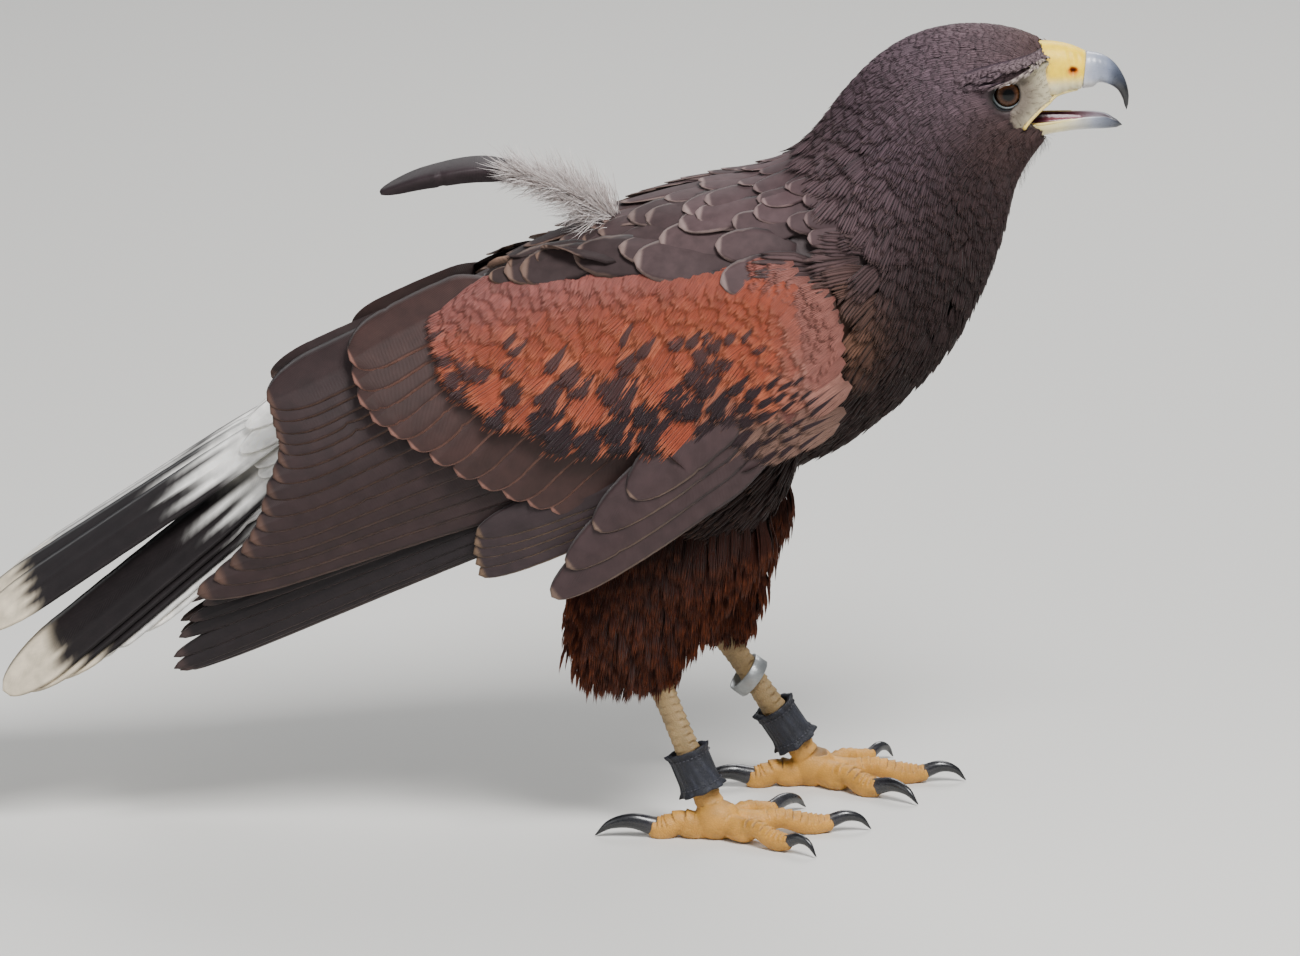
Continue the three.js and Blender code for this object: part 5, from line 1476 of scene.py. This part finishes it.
# Lid rims: a pale bare ring round the eye, almond shaped, with wrinkled outer folds
def makeLids():
    turn, round10 = fullTurn(96), fullTurn(10)
    tall = np.where(np.sin(turn) > 0, 0.8, 0.93)
    least = eyePlan["radius"] + 0.15
    for side, name in sideNames.items():
        centre, gaze, up, ahead = eyeFrame(side)
        bm = bmesh.new()
        tints = []
        for radius, tube, out, code in eyes["folds"]:
            line = centre + gaze * out + (np.cos(turn) * radius * (1 + 0.09 * np.cos(turn) ** 8))[:, None] * ahead \
                + (np.sin(turn) * radius * tall)[:, None] * up
            reach = np.linalg.norm(line - centre, axis=1, keepdims=True)
            line = np.where(reach < least, centre + (line - centre) * least / reach, line)
            across = unit(np.cross(unit(np.roll(line, -1, 0) - np.roll(line, 1, 0)), gaze))
            loops = []
            for k in range(96):
                wrinkle = 1 + 0.1 * math.sin(k * 2.6)
                spot = np.cos(round10)[:, None] * across[k] + np.sin(round10)[:, None] * gaze
                loops.append(addRing(bm, line[k] + tube * wrinkle * spot))
            bmesh.ops.recalc_face_normals(bm, faces=bridgeRings(bm, loops, 96))
            tints += [linear(code)] * 960
        obj = addPiece(f"lids_{name}", bm)
        paint(obj, tints)
        finish(obj, cereMaterial, "cere_skin")


# Brow feathers lie along the ridge over the eye and reach out past it, pale-edged towards the front
brows = {
    "line": [(114.5, 10.5, 313.5), (107, 16, 310.6), (99, 19.6, 308.4), (91, 21.6, 306.6), (83, 22.6, 304.6)],
    "rows": 6, "each": 46, "rowGap": 1.15, "length": 8, "halfWidth": 0.7, "rise": (1.2, 3.0),
}


def layBrows():
    forms = tufts(6, 3, 0.75)
    options = {"mask": lambda shape: smooth((shape["along"] - 0.3) / 0.5), "tone": 0.22, "thick": 0.28, "hug": 0.25,
               "follow": 0.3, "rootShade": 0.75}
    dark, pale = linear("#40323a"), linear("#a3968e")
    for side, name in sideNames.items():
        rows = []
        for row in range(brows["rows"]):
            t = (np.arange(brows["each"]) + draw.random(brows["each"])) / brows["each"]
            line = spline(brows["line"], t) + np.array([0, -0.35, 1.0]) * row * brows["rowGap"]
            way = unit(spline(brows["line"], t + 0.02) - spline(brows["line"], t - 0.02))
            rows.append((line * [1, side, 1], way * [1, side, 1] + [0, side * 0.12, -0.1 - 0.05 * row], t,
                         mix(1.0, 0.15, row / brows["rows"]) * mix(1.0, 0.1, smooth((t - 0.45) / 0.5)),
                         np.full(len(t), row == 0)))
        roots, flow, share, outwards, low = (np.concatenate(v) for v in zip(*rows))
        fade = smooth((0.7 - share) / 0.35)[:, None] * np.where(low[:, None], 1, 0.12)
        rim = mix(linear("#625157"), pale, fade)
        length = brows["length"] * draw.uniform(0.8, 1.15, len(roots)) * mix(0.7, 1.1, share)
        flow = flow + draw.normal(0, 0.05, flow.shape)
        parts = layOnForm(roots, flow, length, np.full(len(roots), brows["halfWidth"]), forms,
                          [rise * outwards for rise in brows["rise"]], [mix(dark, pale, fade * 0.3), rim], options)
        addCoat(f"brow_{name}", parts, bodyVane, "body_feathers")


# Bristles of the lores and chin: tapered threads, each a closed three-sided form
bristles = {"loresCount": 420, "chinCount": 260, "width": 0.07}


def layBristles():
    threads = [threadShape(4, b) for b in (-0.5, -0.2, 0.2, 0.5)]
    options = {"mask": lambda shape: np.zeros(len(shape["along"])), "tone": 0.3, "thick": bristles["width"],
               "hug": 0.3, "follow": 0.3, "rootShade": 0.9}

    def loresMask(points):
        region = coatRegions(points)
        return (region["lores"] > 0.5) & (region["eyeAway"] > 7) & (points[:, 0] < 115)

    lores = scatter(loresMask, 0.8)
    lores = lores[draw.permutation(len(lores))[: bristles["loresCount"]]]
    chin = scatter(lambda p: (p[:, 0] > 98) & (p[:, 2] < 284) & (coatRegions(p)["station"] > 11.5), 0.9)
    chin = chin[draw.permutation(len(chin))[: bristles["chinCount"]]]
    fan = lores - np.array([104, 0, 296])
    fan = np.stack([np.full(len(fan), 0.9), fan[:, 1] * 0.02, 0.35 * rounded(fan[:, 2] / 8, 0.7)], 1)
    for name, roots, flow, length, rise, code in (
            ("bristles_lores", lores, fan, (2.0, 3.8), (0, 0.5), "#75695c"),
            ("bristles_chin", chin, np.tile([0.25, 0, -1], (len(chin), 1)), (3.5, 7), (0, 3.2), "#3d2f30")):
        count = len(roots)
        flow = flow + draw.normal(0, 0.2, flow.shape)
        colour = np.tile(linear(code), (count, 1))
        parts = layOnForm(roots, flow, draw.uniform(*length, count), np.full(count, bristles["width"]), threads, rise,
                          [colour, colour], options)
        addCoat(name, parts, bodyVane, "body_feathers")


cere = makeCere()
makeBill()
makeMandible()
makeTongue()
makeGapeEdges(cere)
makeEyes()
makeLids()
layBrows()
layBristles()
print("face done")


# Legs and feet, each one skin: the tarsus, toes and pads joined, then scutes raised on them
legs = {
    -1: {"name": "right", "top": (-45, 74), "bottom": (-20, 13), "foot": (-17, 38), "turn": -4},
    1: {"name": "left", "top": (-20, 74), "bottom": (19, 13), "foot": (22, 38), "turn": 6},
}
legPlan = {
    "y": (30, 36), "sizes": [(4.8, 6.2), (3.8, 4.7), (4.2, 5.0), (5.2, 5.6)], "voxel": 0.5, "smoothing": 3,
    "pad": (9.5, 13), "scute": 3.3, "scuteHeight": 0.7, "toeScute": 3.0, "toeScuteHeight": 0.95,
}
toes = [
    {"name": "middle", "angle": 4, "length": 46, "root": 5.2, "tip": 3.4, "claw": 19, "clawRoot": 3},
    {"name": "inner", "angle": 44, "length": 33, "root": 5.4, "tip": 3.8, "claw": 24, "clawRoot": 3.5},
    {"name": "outer", "angle": -42, "length": 36, "root": 4.8, "tip": 3.1, "claw": 16, "clawRoot": 2.7},
    {"name": "hind", "angle": 176, "length": 26, "root": 5.6, "tip": 4, "claw": 27, "clawRoot": 3.9},
]
toeShares, toeHeights = (0, 0.3, 0.55, 0.8, 1), (7.5, 5.1, 6.6, 3.8, 3.9)
toePads = (0.92, 1.13, 0.92, 1.13, 0.92)

def toeWay(side, toe):
    angle = math.radians(legs[side]["turn"] * side - toe["angle"] * side)
    return np.array([math.cos(angle), math.sin(angle), 0])


def toePath(side, toe):
    x, y = legs[side]["foot"]
    return [np.array([x, side * y, z]) + toeWay(side, toe) * toe["length"] * share
            for share, z in zip(toeShares, toeHeights)]


def tarsusPath(side):
    leg = legs[side]
    top, low = (np.array([leg[key][0], side * y, leg[key][1]]) for key, y in zip(("top", "bottom"), legPlan["y"]))
    return top + (low - top) * np.linspace(0, 1, 5)[:, None]


# Share along a path, distance from it, and how far each point lies to the path's front or upper side
def placeOnPath(points, path, axis, steps=120):
    line = spline(path, np.linspace(0, 1, steps))
    away = ((points[:, None] - line[None]) ** 2).sum(-1)
    near = away.argmin(1)
    far = np.sqrt(away[np.arange(len(points)), near])
    return near / (steps - 1), far, (points[:, axis] - line[near][:, axis]) / np.maximum(far, 0.1)


def addBall(bm, at, size, rings, turn=0):
    matrix = Matrix.Translation(at) @ Matrix.Rotation(turn, 4, "Z") @ Matrix.Diagonal((*size, 1))
    bmesh.ops.create_uvsphere(bm, u_segments=rings[0], v_segments=rings[1], radius=1, matrix=matrix)


def legForms(side):
    bm = bmesh.new()
    rings, centre, along = limbRings(tarsusPath(side), legPlan["sizes"], 40, 32)
    loftRings(bm, rings, centre[0] - along[0] * 2, centre[-1] + along[-1] * 3)
    for toe in toes:
        way, line = toeWay(side, toe), toePath(side, toe)
        thick = [mix(toe["root"], toe["tip"], t) * pad for t, pad in zip(toeShares, toePads)]
        rings, centre, along = limbRings(line, [(t, t * 1.04) for t in thick], 50, 28, (-way[1], way[0], 0))
        loftRings(bm, rings, centre[0] - along[0] * 2, centre[-1] + along[-1] * toe["tip"] * 0.7)
        for share, drop in ((0.3, 0.34), (0.8, 0.3)):
            at = spline(line, share)[0]
            size = mix(toe["root"], toe["tip"], share) * 1.05
            addBall(bm, (at[0], at[1], at[2] - size * drop), (size * 1.35, size * 1.02, size * 0.8), (24, 14),
                    math.atan2(way[1], way[0]))
    x, y = legs[side]["foot"]
    radius, height = legPlan["pad"]
    addBall(bm, (x, side * y, height * 0.55), (radius, radius * 0.86, height / 1.5), (32, 18))
    return bm


def makeLegs():
    for side, leg in legs.items():
        obj = joinedPiece(f"leg_skin_{leg['name']}", legForms(side), legPlan["voxel"], legPlan["smoothing"])
        mesh = obj.data
        points, normals = rowsOf(mesh.vertices, "co"), rowsOf(mesh.vertex_normals, "vector")
        path = tarsusPath(side)
        onTarsus, far, front = placeOnPath(points, path, 0)
        tarsal = (points[:, 2] > 13) & (far < 9)
        # each scute stands up along its run and drops at its lower edge
        run = onTarsus * np.linalg.norm(path[-1] - path[0]) / legPlan["scute"]
        ridge = (run + 0.2 * np.abs(front - 1)) % 1
        tall = smooth((np.abs(front) - 0.15) / 0.4) * mix(0.55, 1, smooth(front))
        lift = np.where(tarsal, legPlan["scuteHeight"] * (ridge - 0.5) * tall, 0.0)
        dark = np.where(tarsal, smooth((0.16 - ridge) / 0.16) * tall, 0.0)
        best = np.full(len(points), 99.0)
        for toe in toes:
            share, far, up = placeOnPath(points, toePath(side, toe), 2)
            here = (far < best) & ~tarsal & (share > 0.14)
            wave = (share * toe["length"] / legPlan["toeScute"]) % 1
            top = smooth((up - 0.1) / 0.5) * smooth((share - 0.3) / 0.12)
            lift = np.where(here, legPlan["toeScuteHeight"] * (wave - 0.5) * top, lift)
            dark = np.where(here, smooth((0.18 - wave) / 0.18) * top, dark)
            best = np.where(here, far, best)
        points = points + normals * lift[:, None]
        z = np.maximum(points[:, 2], 0.05)
        points[:, 2] = z
        setPoints(mesh, points)
        mesh.shade_smooth()
        colour = np.tile(linear("#c08a38"), (len(z), 1))
        for code, share in (("#8e7650", smooth((z - 8) / 26)), ("#5f4524", dark * 0.85),
                            ("#b98a4a", smooth((3.2 - z) / 3) * 0.6)):
            colour = blend(colour, code, share)
        paint(obj, colour)
        finish(obj, scaleMaterial, "leg_scales", f"tarsus_{leg['name']}", f"foot_{leg['name']}")
        for toe in toes:
            makeClaw(side, leg["name"], toe)


def makeClaw(side, name, toe):
    way, tip = toeWay(side, toe), toePath(side, toe)[-1]
    reach, root = toe["claw"], toe["clawRoot"]
    path = [np.array([tip[0], tip[1], z]) + way * run
            for run, z in ((-1, 4.4), (reach * 0.3, 6.6), (reach * 0.62, 5.2), (reach * 0.84, 0.9))]
    sizes = [(root * 0.8, root), (root * 0.66, root * 0.8), (root * 0.42, root * 0.5), (0.3, 0.3)]
    rings, centre, along = limbRings(path, sizes, 44, 24, (-way[1], way[0], 0))
    obj = loftedPiece(f"talon_{name}_{toe['name']}", rings, centre[0] - along[0] * root * 0.5,
                      centre[-1] + along[-1] * 0.5)
    run = (vertexPoints(obj) - tip) @ way / reach
    paint(obj, ramp(run, [(-0.1, "#4a4540"), (0.06, "#26252a"), (0.3, "#17171b"), (1, "#0e0e10")]))
    finish(obj, clawMaterial, "claw_horn", f"claw_{name}_{toe['name']}")


makeLegs()
print("legs done")


# What the bird wears: a leather cuff on each tarsus, and a flat metal ring on the left one
cuff = {"inner": 6.3, "wall": 1.5, "height": 17, "flare": 1.6, "share": 0.1, "fringe": 34, "stitches": 30,
        "stitch": (0.28, 0.62, 0.26), "lowest": 6.5}
legRing = {"inner": 7.8, "wall": 0.8, "height": 6, "tilt": -20, "share": 0.53, "edge": 0.22}


# A closed band from a profile of (radius, height) points, and where it goes on the tarsus
def bandAt(bm, side, share, profile, steps, tilt=0):
    path = tarsusPath(side)
    low, high = Vector(path[-1]), Vector(path[0])
    edges = addRing(bm, [(radius, 0, height) for radius, height in profile])
    bmesh.ops.spin(bm, geom=bm.verts[:] + edges, cent=(0, 0, 0), axis=(0, 0, 1), angle=2 * math.pi, steps=steps)
    bmesh.ops.remove_doubles(bm, verts=bm.verts, dist=0.01)
    bmesh.ops.recalc_face_normals(bm, faces=bm.faces)
    turn = Vector((0, 0, 1)).rotation_difference((high - low).normalized()).to_matrix().to_4x4()
    return Matrix.Translation(low.lerp(high, share)) @ Matrix.Rotation(math.radians(tilt), 4, "Y") @ turn


def makeCuffs():
    inner, wall, height, flare = cuff["inner"], cuff["wall"], cuff["height"], cuff["flare"]
    outside = [(inner + wall + flare * (1 - s / 0.3) ** 2 * (s < 0.3) + flare * 0.6 * smooth((s - 0.75) / 0.25) ** 2
                - 0.25 * bell((s - 0.08) / 0.02) - 0.25 * bell((s - 0.92) / 0.02), s * height)
               for s in np.linspace(0, 1, 22)]
    profile = outside + [(inner + (r - inner - wall) * 0.8, h) for r, h in outside[::-1]]
    for side, leg in legs.items():
        bm = bmesh.new()
        matrix = bandAt(bm, side, cuff["share"], profile, 144)
        for vert in bm.verts:
            angle = math.atan2(vert.co.y, vert.co.x)
            ends = smooth((abs(vert.co.z / height - 0.5) - 0.36) / 0.14)
            slit = math.cos(angle * cuff["fringe"]) ** 2
            radial = 1 + 0.02 * math.sin(angle * 3 + side) + ends * 0.06 * math.sin(angle * 7)
            radial += 0.012 * math.sin(angle * 19)
            # a lap where the strap's end goes over itself, at the rear
            if vert.co.xy.length > inner + 0.3:
                radial *= 1 + 0.09 * float(smooth((0.55 - abs(angle - 2.7)) / 0.08))
            vert.co.x *= radial
            vert.co.y *= radial
            vert.co.z += math.copysign(ends * (0.9 * slit - 0.6) * 1.1, vert.co.z - height / 2)
        # stitches along both edges
        plain = len(bm.verts)
        for share, stand in ((0.14, 0.75), (0.86, 0.6)):
            radius = inner + wall + stand
            for angle in fullTurn(cuff["stitches"]):
                at = radius * math.cos(angle), radius * math.sin(angle), share * height
                addBall(bm, at, cuff["stitch"], (8, 6), angle)
        bmesh.ops.transform(bm, matrix=matrix, verts=bm.verts)
        for vert in bm.verts:
            vert.co.z = max(vert.co.z, cuff["lowest"])
        obj = addPiece(f"anklet_cuff_{leg['name']}", bm)
        points = vertexPoints(obj)
        worn = smooth(np.sin(points[:, 0] * 1.3 + points[:, 2]) * 0.5 + 0.1)
        colour = blend(np.tile(linear("#191b24"), (len(points), 1)), "#31333f", worn * 0.5)
        colour[plain:] = linear("#3a3a42")
        paint(obj, colour)
        finish(obj, leatherMaterial, "anklet_leather", f"anklet_{leg['name']}")


def makeRing():
    inner, height, edge = legRing["inner"], legRing["height"], legRing["edge"]
    outer = inner + legRing["wall"]
    profile = [(inner, edge), (inner + edge, 0), (outer - edge, 0), (outer, edge), (outer, height * 0.5),
               (outer, height - edge), (outer - edge, height), (inner + edge, height), (inner, height - edge),
               (inner, height * 0.5)]
    bm = bmesh.new()
    matrix = bandAt(bm, 1, legRing["share"], profile, 120, legRing["tilt"])
    # dents from wear
    for vert in bm.verts:
        angle = math.atan2(vert.co.y, vert.co.x)
        dent = 1 + 0.006 * math.sin(angle * 5 + vert.co.z) + 0.004 * math.sin(angle * 13)
        vert.co.x *= dent
        vert.co.y *= dent
    bmesh.ops.transform(bm, matrix=matrix, verts=bm.verts)
    obj = addPiece("leg_ring_band", bm)
    paint(obj, np.tile(linear("#9a9c9c"), (len(obj.data.vertices), 1)))
    finish(obj, ringMaterial, "ring_metal", "leg_ring_left")


makeCuffs()
makeRing()
print("leather and ring done")


# The loose feather on the back: a dark curved blade on its shaft, and pale down at its root
loose = {
    "path": [(-56, -7, 245), (-78, -8, 259), (-106, -9, 267), (-131, -9, 264), (-151, -9, 257.5)],
    "width": 12.5, "shaft": -0.2, "rows": 60, "downCount": 2500, "downLength": (9, 24), "downShare": 0.46,
    "downWidth": 0.24,
}


def makeLooseBlade():
    a, upper, lower = vaneEdges(loose["rows"], 0.62, 0.5)
    line = spline(loose["path"], mix(0.16, 1, a))
    tangent = unit(np.gradient(line, axis=0))
    out = unit(np.cross(tangent, [0, 1, 0.95]))
    side = unit(np.cross(out, tangent))
    columns = shaftColumns(loose["shaft"])
    fromShaft = columns - loose["shaft"]
    height = -0.9 * fromShaft**2 + 0.3 * (1 - columns**8) + bell(fromShaft / 0.07) * 0.6
    reach = vaneReach(columns, upper, lower, loose["width"] / 2)
    points = line[:, None] + side[:, None] * reach[..., None] + out[:, None] * height[..., None]
    full = np.ones((len(a), len(columns), 4))
    colour = blend(full * linear("#2c2124"), "#8d7f7b", smooth((0.42 - a) / 0.3)[:, None])
    part = vanePart(points, a, columns, 100, loose["width"] / 2, colour, colour, np.zeros(full.shape[:2]), (0, 0, 0.5),
                    1.0, True)
    addCoat("loose_blade", [part], flightVane, "down_feathers", "loose_feather")


# Down: fine barbs that curl away from the shaft's base on both sides
def makeLooseDown():
    count, wide = loose["downCount"], loose["downWidth"]
    share = draw.uniform(0.0, loose["downShare"], count) ** 1.1
    roots = spline(loose["path"], share) + draw.normal(0, 0.7, (count, 3))
    spin = draw.uniform(-1, 1, count)
    upwards = draw.uniform(-0.55, 1.25, count)
    toTip = share / loose["downShare"]
    ahead = draw.uniform(-0.9, 0.05, count) - 0.5 * share
    way = unit(np.stack([ahead, spin * 0.8, upwards * mix(1.0, 0.45, toTip)], 1))
    length = draw.uniform(*loose["downLength"], count) * mix(1.0, 0.62, toTip) * mix(1, 0.6, smooth(-upwards))
    parts = []
    for variant, shape, pick in dealt([threadShape(5, b) for b in (-0.9, -0.4, 0.4, 0.9)], count):
        t, long = shape["along"][None, :, None], length[pick][:, None, None]
        curl = np.array([-0.5, 0, 0.28]) * draw.uniform(0.2, 1, (len(pick), 1))
        path = roots[pick][:, None] + way[pick][:, None] * t * long + curl[:, None] * t**2 * long * 0.5
        across = unit(np.cross(way[pick], [0, 0.35, 1]))[:, None]
        lift = unit(np.cross(across[:, 0], way[pick]))[:, None]
        wave = 0.7 * np.sin(shape["along"] * 9 + variant)[None, :, None] * t
        points = path + across * (shape["across"][None, :, None] * wide + wave)
        points = points + lift * shape["up"][None, :, None] * wide
        colour = mix(linear("#e6dedb"), linear("#ab9d98"), draw.random((len(pick), 1)) ** 1.4)
        tone = draw.uniform(0.85, 1.15, (len(pick), 1))
        # the down has no skin under it, and lies on a grid of its own in the bake map
        rootUv = 0.74 + 0.005 * np.stack([pick % 50, pick // 50], 1)
        parts.append(copiesOf(shape, points, rootUv, colour, colour, 0, tone, (t * long)[..., 0]))
    addCoat("loose_down", parts, bodyVane, "down_feathers")


makeLooseBlade()
makeLooseDown()


# Camera, floor and light
view = {"x": -44, "z": 138.3, "elevation": 15, "distance": 5200, "pixel": 0.4, "wide": 1300, "sensor": 36}
studio = {
    "floor": "#d9d7d2", "sky": "#dfe4ea", "skyStrength": 0.42, "aim": (0, 0, 0.17),
    "lamps": {"key": ((0.55, -1.0, 1.7), 0.7, 58), "fill": ((-1.4, -1.2, 0.9), 1.4, 9),
              "back": ((0.4, 1.5, 1.5), 1.0, 22)},
}


def makeCamera():
    data = bpy.data.cameras.new("camera")
    obj = link("camera", data)
    turn = math.radians(view["elevation"])
    away = Vector((0, -math.cos(turn), math.sin(turn))) * view["distance"] * mm
    obj.location = Vector((view["x"], 0, view["z"])) * mm + Vector(shift) + away
    obj.rotation_euler = (math.radians(90 - view["elevation"]), 0, 0)
    data.sensor_width = view["sensor"]
    data.lens = view["sensor"] * view["distance"] / (view["wide"] * view["pixel"])
    data.clip_end = 50
    scene.camera = obj


def makeStudio():
    bm = bmesh.new()
    bmesh.ops.create_grid(bm, x_segments=1, y_segments=1, size=6)
    floor = link("floor", meshOf(bm, "floor"))
    material, tree = newMaterial("pale studio floor")
    shader = addNode(tree, "BsdfPrincipled", {"Base Color": linear(studio["floor"]), "Roughness": 0.8})
    addNode(tree, "OutputMaterial", None, {"Surface": shader})
    floor.data.materials.append(material)
    world = bpy.data.worlds.new("studio")
    world.use_nodes = True
    background = world.node_tree.nodes["Background"].inputs
    background["Color"].default_value = linear(studio["sky"])
    background["Strength"].default_value = studio["skyStrength"]
    scene.world = world
    for name, (place, size, watts) in studio["lamps"].items():
        data = bpy.data.lights.new(name, "AREA")
        data.size, data.energy = size, watts
        lamp = link(name, data)
        lamp.location = place
        lamp.rotation_euler = (Vector(studio["aim"]) - Vector(place)).to_track_quat("-Z", "Y").to_euler()


makeCamera()
makeStudio()
bpy.data.objects.remove(formObj)
